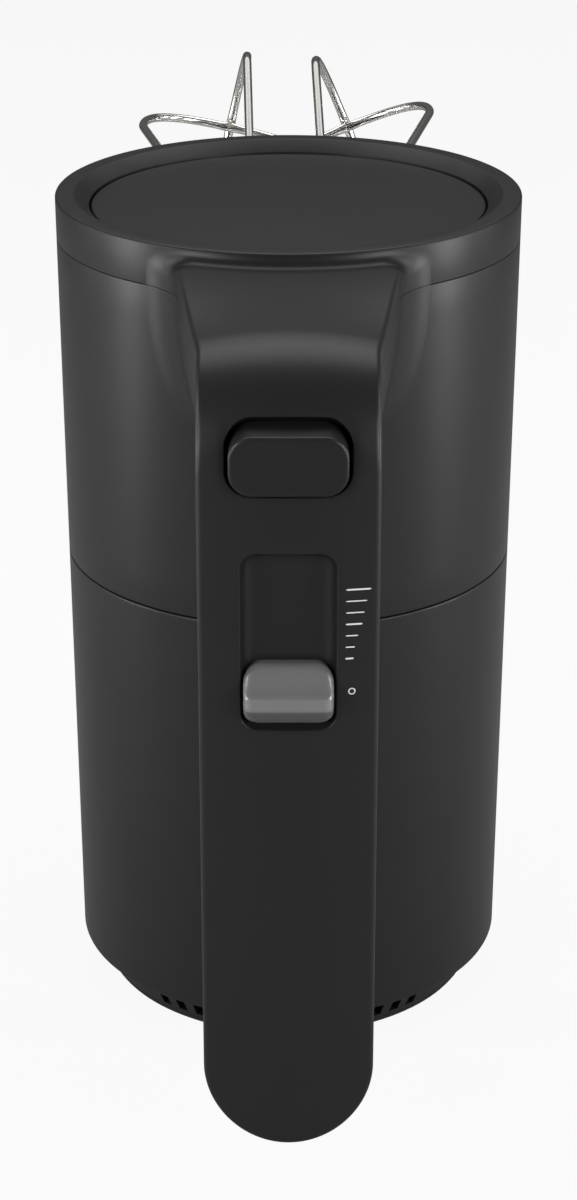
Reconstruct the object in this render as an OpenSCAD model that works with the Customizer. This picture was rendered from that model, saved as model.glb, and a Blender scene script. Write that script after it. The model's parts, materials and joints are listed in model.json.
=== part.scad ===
/* [Body] */
// Outer radius of the body at its rim
rim_r = 46; // [45.8:0.1:46.4]
// Height of the rim above the surface that the mixer stands on
rim_z = 171; // [170.5:0.1:171.5]
// Height of the fine seam between the top shell and the front housing
nose_seam_z = 162.8; // [162.4:0.1:163.2]
// Height of the wide seam between the two housings
mid_seam_z = 97; // [96.5:0.1:97.5]
// Thickness of the housing walls
wall = 2.5; // [2.2:0.1:2.7]

/* [Handle] */
// Distance from the body axis to the outer face of the handle
handle_reach = 103; // [102.5:0.1:103.5]
// Depth of the handle from its outer face to its inner face
handle_depth = 24; // [23.5:0.1:24.5]
// Width of the handle at its lower end
handle_w = 32; // [31.5:0.1:32.5]
// Height of the top of the neck
neck_top_z = 168.5; // [168.2:0.1:168.8]
// Height of the lower end of the handle
handle_end_z = 17.8; // [17:0.1:20]
// Radius of the bend between the neck and the handle
bend_r = 20; // [19.5:0.1:20.5]

/* [Controls] */
// Width of the eject button
button_w = 20.1; // [19:0.1:20.5]
// Travel of the eject button
eject_travel = 5; // [4:0.1:5]
// Width of the speed knob
knob_w = 15.5; // [14.5:0.1:15.6]
// Travel of the speed knob from off to the top speed
knob_travel = 19; // [17:0.1:19]

/* [Drive] */
// Distance of each spindle from the middle of the mixer
spindle_x = 15; // [15]
// Height of the spindles
spindle_z = 144.7; // [144.7]
// Teeth on each worm wheel
wheel_teeth = 14; // [14]

/* [Beaters] */
// Radius of a beater cage at its widest place
cage_r = 22; // [21:0.1:22]
// Distance from the body axis to the end of the beaters
cage_end_y = 165.6; // [160:0.1:168]
// Diameter of the beater wire
wire_d = 2.1; // [1.8:0.1:2.2]

/* [Hidden] */
$fn = 72;

eps = 0.1;
left = -1;
right = 1;

// Colours of the finishes
charcoal = "#2a2a2c";
soft_black = "#1c1c1d";
grey_knob = "#8b8b8d";
steel = "#b9bcc0";
zinc = "#9a9c9e";
bronze = "#a57c45";
copper = "#b3662e";
circuit_green = "#1f5a3a";
clear_lens = "#d8e6dc";
cream_plastic = "#d9d4c3";
cell_blue = "#2c4f86";

// Body: the wall leans in a little on its way down
body_bottom_z = 8.5;
wall_lean = 0.0065;
function body_r(z) = rim_r - (rim_z - z) * wall_lean;
bore_r = rim_r - wall - 0.3;
seam_gap = 0.4;
lip_t = 1.7;

// Nose: flat ring, bevel and the ledge under the disc
ring_flat_r = 42.3;
bevel_r = 39.35;
bevel_z = rim_z - 2.2;
ledge_r = 36;
ledge_z = rim_z - 4.8;
disc_r = 39;
disc_edge_z = bevel_z - 0.2;
disc_dome = 0.5;

// Heel
heel_r = 42.6;
heel_foot_r = 38;
pad_r = 36.5;
pad_t = 1.5;

// Handle and neck, seen from the side
skin = 2.3;
panel_depth = 5.7;
bend_y = -(handle_reach - bend_r);
bend_z = neck_top_z - bend_r;
inner_y = -(handle_reach - handle_depth);
neck_bottom_z = 130;
inner_bend_r = 12;
grip_seam_z = neck_bottom_z - inner_bend_r;
panel_back_y = -(handle_reach - panel_depth);
handle_end_r = handle_w / 2;
handle_end_centre_z = handle_end_z + handle_end_r;
neck_half_w = 15.5;
neck_flare = 0.117;
neck_flare_y = -88;
side_wall = 2.2;
crown_r = 78;

// Eject mechanism
button_z0 = 146.1;
button_z1 = 156.6;
button_face_y = -(handle_reach + 1);
button_back_y = -94.5;
rod_z = (button_z0 + button_z1) / 2;
rod_r = 2.5;
yoke_y = -21.3;
yoke_t = 3;
guide_y = -62;
guide_t = 3.5;
spring_r = 4.2;
spring_wire_r = 0.5;
spring_turns = 8;

// Speed control
slot_half_w = knob_w / 2 + 0.45;
slot_z0 = 102.8;
slot_z1 = 135.5;
knob_z0 = 104;
knob_h = 12.1;
knob_mid_z = knob_z0 + knob_h / 2;
pocket_floor_y = -(handle_reach - 3.7);
pocket_back_y = -97.5;
stem_half_w = 1.8;
stem_half_h = 2;
sled_back_y = -94.8;
board_y = -91.5;

// Gear train: a single-start worm between two wheels
lead = PI * 1.5;
thread_tip_r = 5.7;
thread_root_r = 3;
wheel_tip_r = 11.7;
wheel_root_r = 9;
wheel_face = 6;
worm_z0 = 135;
worm_h = 19;
shaft_r = 2;

// Gearbox
flange_z = 128.5;
flange_t = 2.5;
box_x = 33;
box_y = 14;
chamber_x = 27.5;
chamber_y = 7;
chamber_z = flange_z + flange_t;
lid_z = 160.5;
bush_r = 5.5;
spindle_r = 4;
flange_screw_R = 37.5;
cover_screws = [for (x = [-30.2, 30.2], y = [-9.5, 9.5]) [x, y]];

// Motor
motor_r = 18.5;
motor_z0 = 81.5;
can_z0 = 84.5;

// Battery
cell_r = 9.1;
cell_R = 14;
cell_z0 = 8.3;
cell_z1 = 72.7;
cell_angles = [90, 210, 330];

// Screws that hold the two housings and the heel
mid_screw_R = 37.5;
mid_screw_angles = [90, 210, 330];
heel_screw_R = 33;
heel_screw_angles = [30, 150, 270];
grip_screw_z = [40, 88];
screw_r = 1.4;

// Beaters
cage_tip_y = 144.5;
hub_y = 83;
hub_r = 7.6;
shank_r = 2.6;
shank_y = 14;
loop_gap = wire_d + 0.15;
left_phase = 12.5;
right_phase = -22.2;

// Points on an arc
function arc(c, r, a0, a1, n = 10) =
    [for (i = [0 : n]) c + r * [cos(a0 + (a1 - a0) * i / n), sin(a0 + (a1 - a0) * i / n)]];

// The list in the opposite order
function reversed(list) = [for (i = [len(list) - 1 : -1 : 0]) list[i]];

// A profile in the YZ plane, drawn as (y, z), as wide as w
module along_x(w) {
    translate([-w / 2, 0, 0]) rotate([90, 0, 90]) linear_extrude(w) children();
}

// A profile in the XZ plane, drawn as (x, z), from y0 to y1
module along_y(y0, y1) {
    translate([0, y1, 0]) rotate([90, 0, 0]) linear_extrude(y1 - y0) children();
}

// A rod parallel to Y
module rod_y(x, z, r, y0, y1) {
    translate([x, y0, z]) rotate([-90, 0, 0]) cylinder(r = r, h = y1 - y0);
}

// A box from its two opposite corners
module box(low, high) {
    translate(low) cube(high - low);
}

// A tube that stands on the Z axis
module tube(r_in, r_out, z0, z1) {
    translate([0, 0, z0]) difference() {
        cylinder(r = r_out, h = z1 - z0);
        translate([0, 0, -eps]) cylinder(r = r_in, h = z1 - z0 + 2 * eps);
    }
}

// Children repeated at each angle, at the distance R from the Z axis
module around(R, angles) {
    for (a = angles) rotate(a) translate([R, 0, 0]) children();
}

// A rectangle with round corners, from (x0, y0) to (x1, y1)
module round_rect(x0, y0, x1, y1, r) {
    for (x = [x0 + r, x1 - r], y = [y0 + r, y1 - r]) translate([x, y]) circle(r);
    translate([x0 + r, y0]) square([x1 - x0 - 2 * r, y1 - y0]);
    translate([x0, y0 + r]) square([x1 - x0, y1 - y0 - 2 * r]);
}

// A pan-head screw that points down, its head's underside at z = 0
module screw(shank, head_r = 2.6, head_h = 1.6, r = screw_r) {
    cylinder(r = head_r, h = head_h);
    translate([0, 0, -shank]) cylinder(r = r, h = shank + eps);
}

// Unit vector of the direction of a path at its point i
function path_dir(path, i) =
    let(d = path[min(i + 1, len(path) - 1)] - path[max(i - 1, 0)]) d / norm(d);

// A round wire swept along a path; up is a direction that the path never takes
module swept_wire(path, r, up, sides = 8) {
    last = len(path) - 1;
    points = [for (i = [0 : last])
        let(t = path_dir(path, i), side = cross(up, t), n = side / norm(side), b = cross(t, n))
        for (k = [0 : sides - 1]) path[i] + r * (cos(360 * k / sides) * n + sin(360 * k / sides) * b)];
    faces = concat(
        [for (i = [0 : last - 1], k = [0 : sides - 1])
            let(a = i * sides, b = a + sides, next = (k + 1) % sides) [a + k, b + k, b + next, a + next]],
        [[for (k = [0 : sides - 1]) k], [for (k = [sides - 1 : -1 : 0]) last * sides + k]]);
    polyhedron(points, faces);
}

// Outer side of the neck and handle, at the depth d under the surface
function outer_path(d) = concat(
    [[-38, neck_top_z - d]],
    arc([bend_y, bend_z], bend_r - d, 90, 180),
    [[-handle_reach + d, handle_end_z - 1]]);

// Inner side of the neck and handle, at the depth d under the surface
function inner_path(d) = concat(
    [[-38, neck_bottom_z + d]],
    arc([inner_y + inner_bend_r, grip_seam_z], inner_bend_r + d, 90, 180),
    [[inner_y - d, handle_end_z - 1]]);

// Neck seen from above, with its walls left out when inset is their thickness
module neck_plan(inset) {
    w = neck_half_w - inset;
    root_w = w + neck_flare * (-38 - neck_flare_y);
    polygon([[w, -110], [w, neck_flare_y], [root_w, -38], [-root_w, -38], [-w, neck_flare_y], [-w, -110]]);
}

// Handle seen from the front, down to its round end
module handle_front(inset) {
    w = neck_half_w - inset;
    end = arc([0, handle_end_centre_z], handle_end_r - inset, 0, -180, 24);
    polygon(concat([[w, grip_seam_z]], end, [[-w, grip_seam_z]]));
}

// The part of the arm between two side profiles, above and below the grip seam
module arm(outer, inner, inset) {
    profile = concat(outer, reversed(inner));
    intersection() {
        along_x(60) polygon(profile);
        union() {
            translate([0, 0, grip_seam_z]) linear_extrude(60) neck_plan(inset);
            along_y(-110, -60) handle_front(inset);
        }
        translate([0, crown_r - handle_reach, 0]) cylinder(r = crown_r, h = 200, $fn = 180);
    }
}

// Nose ring with its flat top, its bevel, the ledge for the disc and a locating lip
module nose_ring() {
    rotate_extrude() polygon([
        [bore_r, nose_seam_z], [body_r(nose_seam_z), nose_seam_z], [rim_r, rim_z - 0.5],
        [rim_r - 0.5, rim_z], [ring_flat_r, rim_z], [bevel_r, bevel_z], [bevel_r, ledge_z],
        [ledge_r, ledge_z], [ledge_r, ledge_z - 2], [bore_r - lip_t, ledge_z - 2],
        [bore_r - lip_t, nose_seam_z - 3.5], [bore_r - 0.05, nose_seam_z - 3.5],
        [bore_r - 0.05, nose_seam_z]]);
}

// Outline of the hole for the eject button, seen from the front
module button_hole() {
    half = button_w / 2 + 0.8;
    round_rect(-half, button_z0 - 0.8, half, button_z1 + 1, 4.6);
}

// Top of the neck and front of the handle, a shallow tray with the slider pocket
module front_panel() {
    difference() {
        arm(outer_path(0), outer_path(panel_depth), 0);
        arm(outer_path(skin), outer_path(panel_depth + eps), side_wall);
        cylinder(r = rim_r - 1, h = 200);
    }
    box([-slot_half_w - 1.7, -handle_reach + 1, slot_z0 - 1.8],
        [slot_half_w + 1.7, pocket_back_y, slot_z1 + 1.8]);
    for (s = [-1, 1]) translate([s * (slot_half_w + 0.3), 0, 0])
        box([-0.9, pocket_back_y - eps, 98], [0.9, board_y, 140]);
    for (z = grip_screw_z) rod_y(0, z, 3.2, -handle_reach + 1, -88);
}

module top_shell() {
    color(charcoal) difference() {
        union() {
            nose_ring();
            front_panel();
        }
        along_y(-110, -85) button_hole();
        along_y(-110, pocket_floor_y) round_rect(-slot_half_w, slot_z0, slot_half_w, slot_z1, 3);
        along_y(-110, -80) round_rect(-stem_half_w - 0.4, knob_mid_z - stem_half_h - 0.5,
            stem_half_w + 0.4, knob_mid_z + stem_half_h + knob_travel + 0.5, 0.6);
        for (z = grip_screw_z) rod_y(0, z, screw_r, -100, -87);
    }
}

module nose_disc() {
    edge_h = disc_edge_z - ledge_z;
    dome = [for (i = [0 : 8]) let(r = disc_r * (8 - i) / 8)
        [r, edge_h + disc_dome * (1 - pow(r / disc_r, 2))]];
    color(charcoal) translate([0, 0, ledge_z]) rotate_extrude() polygon(concat([[0, 0], [disc_r, 0]], dome));
}

// A round boss that grows out of the inside of a housing wall
module wall_boss(R, angles, r, z0, z1, inner_r) {
    intersection() {
        around(R, angles) translate([0, 0, z0]) cylinder(r = r, h = z1 - z0);
        cylinder(r = inner_r + 0.2, h = 200);
    }
}

module front_housing() {
    z0 = mid_seam_z + seam_gap;
    color(charcoal) difference() {
        union() {
            difference() {
                union() {
                    translate([0, 0, z0])
                        cylinder(r1 = body_r(z0), r2 = body_r(nose_seam_z), h = nose_seam_z - z0);
                    intersection() {
                        arm(outer_path(panel_depth), inner_path(0), 0);
                        translate([0, 0, grip_seam_z]) linear_extrude(60)
                            translate([-50, -110]) square([100, 90]);
                    }
                }
                translate([0, 0, z0 - eps]) cylinder(r = bore_r, h = 80);
                intersection() {
                    arm(outer_path(panel_depth - eps), inner_path(skin), side_wall);
                    translate([-50, -110, grip_seam_z - eps]) cube([100, 90, 60]);
                }
            }
            wall_boss(38.6, [45, 135, 225, 315], 5.4, 112, flange_z, bore_r);
            wall_boss(38.6, mid_screw_angles, 5.4, 100.3, 111, bore_r);
        }
        around(flange_screw_R, [45, 135, 225, 315]) translate([0, 0, 114]) cylinder(r = screw_r, h = 20);
        around(mid_screw_R, mid_screw_angles) translate([0, 0, 100]) cylinder(r = screw_r, h = 9);
        for (s = [left, right]) rod_y(s * spindle_x, spindle_z, 6.2, 20, 50);
    }
}

// Slot for the charging plug, seen from the front
module port_outline(half_w, half_h) {
    round_rect(-half_w, 22 - half_h, half_w, 22 + half_h, half_h - 0.01);
}

module rear_housing() {
    z1 = mid_seam_z - seam_gap;
    color(charcoal) difference() {
        union() {
            rotate_extrude() polygon([
                [bore_r - 0.7, body_bottom_z], [body_r(body_bottom_z) - 0.5, body_bottom_z],
                [body_r(body_bottom_z), body_bottom_z + 0.5], [body_r(z1), z1], [bore_r - 0.1, z1],
                [bore_r - 0.1, 100], [bore_r - 0.1 - lip_t, 100], [bore_r - 0.1 - lip_t, 92],
                [bore_r - 0.7, 90]]);
            wall_boss(38.6, mid_screw_angles, 5.4, 86, 100, bore_r - 0.7);
            around(heel_screw_R, heel_screw_angles) {
                translate([0, 0, body_bottom_z + 0.1]) cylinder(r = 4, h = 12);
                box([3, -1.2, body_bottom_z + 4], [bore_r - heel_screw_R - 0.5, 1.2, body_bottom_z + 12]);
            }
        }
        around(mid_screw_R, mid_screw_angles) translate([0, 0, 85]) cylinder(r = screw_r + 0.2, h = 16);
        around(heel_screw_R, heel_screw_angles)
            translate([0, 0, body_bottom_z]) cylinder(r = screw_r, h = 10.5);
        along_y(30, 50) port_outline(4.9, 2.05);
        rod_y(0, 30, 1.6, 30, 50);
    }
}

module grip_shell() {
    color(charcoal) difference() {
        union() {
            difference() {
                grip_block(0, 0);
                grip_block(skin, side_wall);
            }
            for (z = grip_screw_z) rod_y(0, z, 4.2, -88, inner_y - 1);
        }
        for (z = grip_screw_z) {
            rod_y(0, z, screw_r + 0.2, -89, -70);
            rod_y(0, z, 2.9, -84, -70);
        }
    }
}

// Inner half of the handle under the grip seam; the hollow opens towards the panel
module grip_block(depth, inset) {
    intersection() {
        along_y(panel_back_y - (depth > 0 ? eps : 0), inner_y - depth) handle_front(inset);
        translate([-50, -110, 0]) cube([100, 90, grip_seam_z + (depth > 0 ? eps : 0)]);
    }
}

module heel_cover() {
    foot = arc([heel_foot_r, 2.6], 2, -90, 0, 6);
    color(soft_black) difference() {
        union() {
            rotate_extrude() polygon(concat(
                [[0, pad_t], [pad_r + 0.1, pad_t], [pad_r + 0.1, 0.6]], foot,
                [[heel_r, body_bottom_z - 0.8], [41.5, body_bottom_z - 0.8], [41.5, body_bottom_z],
                [bore_r - 0.75, body_bottom_z], [bore_r - 0.75, 12.5], [40, 12.5], [38.2, 4], [0, 4]]));
            around(heel_screw_R, heel_screw_angles)
                translate([0, 0, 3]) cylinder(r = 4, h = body_bottom_z - 3);
        }
        around(heel_screw_R, heel_screw_angles) {
            translate([0, 0, 1]) cylinder(r = screw_r + 0.2, h = 12);
            translate([0, 0, 1]) cylinder(r = 2.9, h = 2.6);
        }
        for (s = [-1, 1], a = [27, 33, 39])
            rotate(270 + s * a) translate([36, -1.1, 3.4]) cube([10, 2.2, 3.6]);
    }
}

module heel_pad() {
    color(soft_black) cylinder(r = pad_r, h = pad_t);
}

module socket_plate() {
    color(soft_black) difference() {
        along_y(30, 49) {
            for (s = [left, right]) translate([s * spindle_x, spindle_z]) circle(12);
            translate([-spindle_x, spindle_z - 12]) square([2 * spindle_x, 24]);
        }
        translate([0, 0, 120]) cylinder(r = rim_r, h = 50);
        for (s = [left, right]) rod_y(s * spindle_x, spindle_z, 5.8, 20, 60);
    }
}

module gearbox_frame() {
    color(zinc) difference() {
        union() {
            translate([0, 0, flange_z]) cylinder(r = 41, h = flange_t);
            box([-box_x, -box_y, flange_z], [box_x, box_y, spindle_z]);
        }
        box([-chamber_x, -chamber_y, chamber_z], [chamber_x, chamber_y, 200]);
        translate([0, 0, 120]) cylinder(r = 4.3, h = 20);
        for (s = [left, right]) {
            rod_y(s * spindle_x, spindle_z, bush_r, -20, 20);
            translate([s * 10.5, 0, 120]) cylinder(r = screw_r + 0.2, h = 20);
        }
        around(flange_screw_R, [45, 135, 225, 315])
            translate([0, 0, 120]) cylinder(r = screw_r + 0.2, h = 20);
        for (p = cover_screws) translate([p[0], p[1], 136]) cylinder(r = screw_r, h = 20);
        translate([21, -31.5, 120]) cylinder(r = 2.2, h = 20);
    }
}

module gearbox_cover() {
    color(zinc) difference() {
        box([-box_x, -box_y, spindle_z], [box_x, box_y, lid_z]);
        box([-chamber_x, -chamber_y, 100], [chamber_x, chamber_y, lid_z - 3]);
        translate([0, 0, 150]) cylinder(r = 4.5, h = 20);
        for (s = [left, right]) rod_y(s * spindle_x, spindle_z, bush_r, -20, 20);
        for (p = cover_screws) translate([p[0], p[1], 140]) cylinder(r = screw_r + 0.2, h = 30);
    }
}

module spindle_bushings() {
    color(bronze) for (s = [left, right], y0 = [-box_y, chamber_y]) difference() {
        rod_y(s * spindle_x, spindle_z, bush_r, y0, y0 + box_y - chamber_y);
        rod_y(s * spindle_x, spindle_z, spindle_r + 0.04, y0 - 1, y0 + box_y);
    }
}

module worm_bearing() {
    color(bronze) tube(shaft_r + 0.03, 4.5, lid_z - 3, lid_z);
}

module motor_can() {
    color(steel) difference() {
        translate([0, 0, can_z0]) cylinder(r = motor_r, h = flange_z - can_z0);
        translate([0, 0, can_z0 - eps]) cylinder(r = motor_r - 1.3, h = flange_z - can_z0 - 1.5);
        translate([0, 0, can_z0]) cylinder(r = 4, h = 60);
        for (s = [-1, 1]) translate([s * 10.5, 0, can_z0 + 20]) cylinder(r = screw_r, h = 60);
    }
}

module motor_magnets() {
    color("#4a4a4c") for (a = [20, 200]) rotate(a) rotate_extrude(angle = 140)
        translate([14, 93]) square([3.1, 30]);
}

module motor_end_cap() {
    color(cream_plastic) difference() {
        union() {
            translate([0, 0, motor_z0]) cylinder(r = motor_r, h = can_z0 - motor_z0);
            translate([0, 0, motor_z0]) cylinder(r = 5.5, h = 4.8);
            for (s = [-1, 1]) {
                box([s * 9.3 - 3.7, -3.2, can_z0 - eps], [s * 9.3 + 3.7, 3.2, 91]);
                box([s * 8 - 1.5, 16, motor_z0], [s * 8 + 1.5, 20.5, motor_z0 + 1.5]);
            }
        }
        translate([0, 0, motor_z0 - eps]) cylinder(r = 4, h = 10);
        box([-14, -2, 86.2], [14, 2, 90.6]);
    }
}

module motor_bearings() {
    color(bronze) {
        tube(shaft_r + 0.03, 4, motor_z0, 86.3);
        tube(shaft_r + 0.03, 4, flange_z - 3.9, flange_z);
    }
}

module motor_brushes() {
    color("#3a3a3c") for (s = [-1, 1]) box([s * 8.7 - 3.4, -1.95, 86.25], [s * 8.7 + 3.4, 1.95, 90.55]);
}

module battery_cells() {
    color(cell_blue) around(cell_R, cell_angles) translate([0, 0, cell_z0]) {
        cylinder(r = cell_r, h = cell_z1 - cell_z0 - 0.8);
        cylinder(r = 3, h = cell_z1 - cell_z0);
    }
}

module battery_carrier() {
    color(cream_plastic) difference() {
        union() {
            translate([0, 0, 4.5]) cylinder(r = 26, h = 3.5);
            translate([0, 0, 73]) cylinder(r = 26, h = 1.2);
            around(23.2, heel_screw_angles) translate([0, 0, 6]) cylinder(r = 2.5, h = 68);
            for (z = [6, 66]) around(cell_R, cell_angles)
                translate([0, 0, z]) cylinder(r = cell_r + 1.4, h = 7.6);
        }
        around(cell_R, cell_angles) translate([0, 0, 8]) cylinder(r = cell_r + 0.05, h = 65);
    }
}

module battery_straps() {
    color(steel) {
        for (a = [90, 330]) strap(a, 120, cell_z1);
        strap(210, 120, 8);
    }
}

// A nickel strip on the end of one cell, reaching towards its neighbour
module strap(angle, turn, z) {
    rotate(angle) translate([cell_R, 0, z]) rotate(turn) translate([-3, -3, 0]) cube([9, 6, 0.3]);
}

module control_board() {
    color(circuit_green) {
        box([-16, 30, 22], [16, 31.6, 74]);
        box([-12, 26.5, 52], [-2, 30.05, 64]);
        box([3, 27.5, 46], [11, 30.05, 58]);
        for (x = [-10, 10]) rod_y(x, 42, 3, 24.5, 30.05);
    }
}

module charge_port() {
    color(steel) {
        difference() {
            along_y(31.6, 44.3) port_outline(4.8, 1.95);
            along_y(33, 50) port_outline(4.3, 1.45);
        }
        box([-3, 32.5, 21.65], [3, 42, 22.35]);
    }
}

module charge_light() {
    color(clear_lens) rod_y(0, 30, 1.55, 38, body_r(30) - 0.2);
}

module switch_board() {
    color(circuit_green) {
        box([-slot_half_w - 1.2, board_y, 97], [slot_half_w + 1.2, board_y + 1.5, 141]);
        box([-4, board_y - 2.3, 101], [4, board_y + 0.05, 137]);
    }
}

// Cable from the switch board through the neck and down to the control board
cable_route = [[7, -89, 120], [11, -86, 134], [12, -60, 137], [12, -44, 137], [21, -31.5, 133],
    [21, -31.5, 84], [31, -8, 78], [31, 10, 74], [15, 28.7, 66]];

module switch_cable() {
    color("#b8b8b8") swept_wire(cable_route, 1.1, [1, 1, 0.4]);
}

module motor_leads() {
    color("#a03028") for (s = [-1, 1])
        swept_wire([[s * 8, 19.5, motor_z0 - 0.1], [s * 8, 19.5, motor_z0 - 1.3], [s * 8, 24.6, 77],
            [s * 8, 27.4, 73.5], [s * 8, 28.9, 70]], 0.8, [1, 0, 0]);
}

module eject_guide() {
    color(cream_plastic) difference() {
        box([-15, guide_y, neck_bottom_z + skin], [15, guide_y + guide_t, 159]);
        rod_y(0, rod_z, rod_r + 0.08, -70, -50);
        box([9, -70, 130], [16, -50, 141]);
    }
}

// Coil spring around the eject rod
module eject_spring() {
    per_turn = 14;
    y0 = button_back_y + 0.1 + spring_wire_r;
    length = guide_y - 0.1 - spring_wire_r - y0;
    steps = spring_turns * per_turn;
    path = [for (i = [0 : steps]) let(a = 360 * i / per_turn)
        [spring_r * cos(a), y0 + length * i / steps, rod_z + spring_r * sin(a)]];
    color(steel) swept_wire(path, spring_wire_r, [0, 1, 0]);
}

module frame_screws() {
    color(steel) around(flange_screw_R, [45, 135, 225, 315]) translate([0, 0, chamber_z]) screw(16);
}

module gearbox_screws() {
    color(steel) for (p = cover_screws) translate([p[0], p[1], lid_z]) screw(23, 2.4);
}

module motor_screws() {
    color(steel) for (s = [-1, 1]) translate([s * 10.5, 0, chamber_z]) screw(5.5, 2.4, 1.4);
}

module housing_screws() {
    color(steel) around(mid_screw_R, mid_screw_angles) translate([0, 0, 86]) mirror([0, 0, 1]) screw(22.5);
}

module heel_screws() {
    color(steel) around(heel_screw_R, heel_screw_angles) translate([0, 0, 3.6]) mirror([0, 0, 1]) screw(14);
}

module grip_screws() {
    color(steel) for (z = grip_screw_z) translate([0, -84, z]) rotate([-90, 0, 0]) screw(14);
}

module motor_shaft() {
    color(steel) translate([0, 0, 74.8]) cylinder(r = shaft_r, h = lid_z - 0.2 - 74.8);
}

module armature_core() {
    color("#6c6e70") translate([0, 0, 95]) linear_extrude(26) difference() {
        circle(13.5);
        circle(shaft_r);
        for (i = [0 : 6]) rotate(i * 360 / 7) {
            translate([6, -1]) square([4.5, 2]);
            translate([10, -0.6]) square([4, 1.2]);
        }
    }
}

module armature_windings() {
    color(copper) {
        tube(5.8, 11.3, 91.8, 94.9);
        tube(5.8, 11.3, 121.1, 124);
        for (i = [0 : 6]) rotate(i * 360 / 7) box([6.3, -0.8, 93], [10.2, 0.8, 123]);
    }
}

module commutator() {
    color(copper) difference() {
        tube(shaft_r, 5, 86.9, 91.4);
        for (i = [0 : 6]) rotate(i * 360 / 7) box([4.2, -0.2, 80], [6, 0.2, 100]);
    }
}

// Section of the worm: the thread's half angle follows from its width along the axis
function thread_angle(width) = width / 2 / lead * 360;

module drive_worm() {
    tip_a = thread_angle(0.9);
    root_a = thread_angle(1.9);
    section = concat(
        arc([0, 0], thread_tip_r, -tip_a, tip_a, 6),
        [for (t = [0.33, 0.67]) let(a = tip_a + (root_a - tip_a) * t)
            (thread_tip_r + (thread_root_r - thread_tip_r) * t) * [cos(a), sin(a)]],
        arc([0, 0], thread_root_r, root_a, 360 - root_a, 10),
        [for (t = [0.67, 0.33]) let(a = tip_a + (root_a - tip_a) * t)
            (thread_tip_r + (thread_root_r - thread_tip_r) * t) * [cos(a), -sin(a)]]);
    color(steel) difference() {
        translate([0, 0, worm_z0]) rotate(-360 * (spindle_z - worm_z0) / lead)
            linear_extrude(worm_h, twist = -360 * worm_h / lead, slices = 80, $fn = 12) polygon(section);
        cylinder(r = shaft_r, h = 200);
    }
}

module cooling_fan() {
    color(soft_black) difference() {
        union() {
            translate([0, 0, 75.5]) cylinder(r = 17, h = 0.9);
            translate([0, 0, 75.5]) cylinder(r = 4.5, h = 5);
            for (i = [0 : 10]) rotate(i * 360 / 11) box([4, -0.6, 75.5], [16.8, 0.6, 80.3]);
        }
        cylinder(r = shaft_r, h = 200);
    }
}

module spindle(side) {
    color(steel) difference() {
        union() {
            rod_y(side * spindle_x, spindle_z, spindle_r, -box_y - 0.2, 47);
            rod_y(side * spindle_x, spindle_z, 5.4, 41.8, 47);
        }
        rod_y(side * spindle_x, spindle_z, shank_r + 0.05, -30, 60);
    }
}

// A wheel whose teeth start at the given angle in the XZ plane
module worm_wheel(side, start) {
    color(cream_plastic) difference() {
        union() {
            along_y(-wheel_face / 2, wheel_face / 2) translate([side * spindle_x, spindle_z]) {
                circle(wheel_root_r);
                for (i = [0 : wheel_teeth - 1]) rotate(start + i * 360 / wheel_teeth)
                    polygon([[wheel_root_r - 0.3, -0.95], [wheel_tip_r, -0.45],
                        [wheel_tip_r, 0.45], [wheel_root_r - 0.3, 0.95]]);
            }
            rod_y(side * spindle_x, spindle_z, 6.5, -chamber_y + 0.4, chamber_y - 0.4);
        }
        rod_y(side * spindle_x, spindle_z, spindle_r, -30, 30);
    }
}

module ejector_pin(side) {
    color(steel) {
        rod_y(side * spindle_x, spindle_z, shank_r - 0.02, -20, shank_y - 0.5);
        rod_y(side * spindle_x, spindle_z, 4, yoke_y + 0.3, yoke_y + 1.8);
    }
}

module beater_shaft(side) {
    color(steel) {
        rod_y(side * spindle_x, spindle_z, shank_r, shank_y, hub_y - 3);
        rod_y(side * spindle_x, spindle_z, 3.6, 50, 52);
        rod_y(side * spindle_x, spindle_z, hub_r, hub_y - 4, hub_y);
    }
}

// Dome of a beater loop, squarer than an ellipse, as (radius, y) at the turn t from its end
dome_power = 2.6;
function dome_point(t, end_y) =
    [cage_r * sign(sin(t)) * pow(abs(sin(t)), 2 / dome_power),
    cage_tip_y + (end_y - cage_tip_y) * pow(abs(cos(t)), 2 / dome_power)];

// A loop as (radius, y): straight near leg, dome, straight near leg
function loop_path(end_y, foot) = concat(
    [[-foot, hub_y + 0.05], [-(cage_r + foot) / 2, (hub_y + cage_tip_y) / 2]],
    [for (i = [0 : 24]) dome_point(-90 + 180 * i / 24, end_y)],
    [[(cage_r + foot) / 2, (hub_y + cage_tip_y) / 2], [foot, hub_y + 0.05]]);

// A wire loop in the plane of the beater's axis; shift moves its feet sideways on the hub
module beater_loop(side, angle, end_y, foot, shift) {
    path = [for (p = loop_path(end_y, foot))
        [p[0], p[1], shift * max(0, (cage_tip_y - p[1]) / (cage_tip_y - hub_y))]];
    color(steel) translate([side * spindle_x, 0, spindle_z]) rotate([0, angle, 0])
        swept_wire(path, wire_d / 2, [0, 0, 1], 10);
}

module eject_button() {
    half = button_w / 2;
    color(charcoal) {
        along_y(button_face_y, button_back_y - 1) round_rect(-half, button_z0, half, button_z1, 4);
        along_y(button_back_y - 2, button_back_y)
            round_rect(-half - 2.1, button_z0 - 1.5, half + 2.1, button_z1 + 1.8, 3);
    }
}

module eject_yoke() {
    color(cream_plastic) {
        rod_y(0, rod_z, rod_r, button_back_y, yoke_y - yoke_t);
        along_y(yoke_y - yoke_t, yoke_y) round_rect(-19.5, spindle_z - 5, 19.5, rod_z + 4, 4);
    }
}

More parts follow.
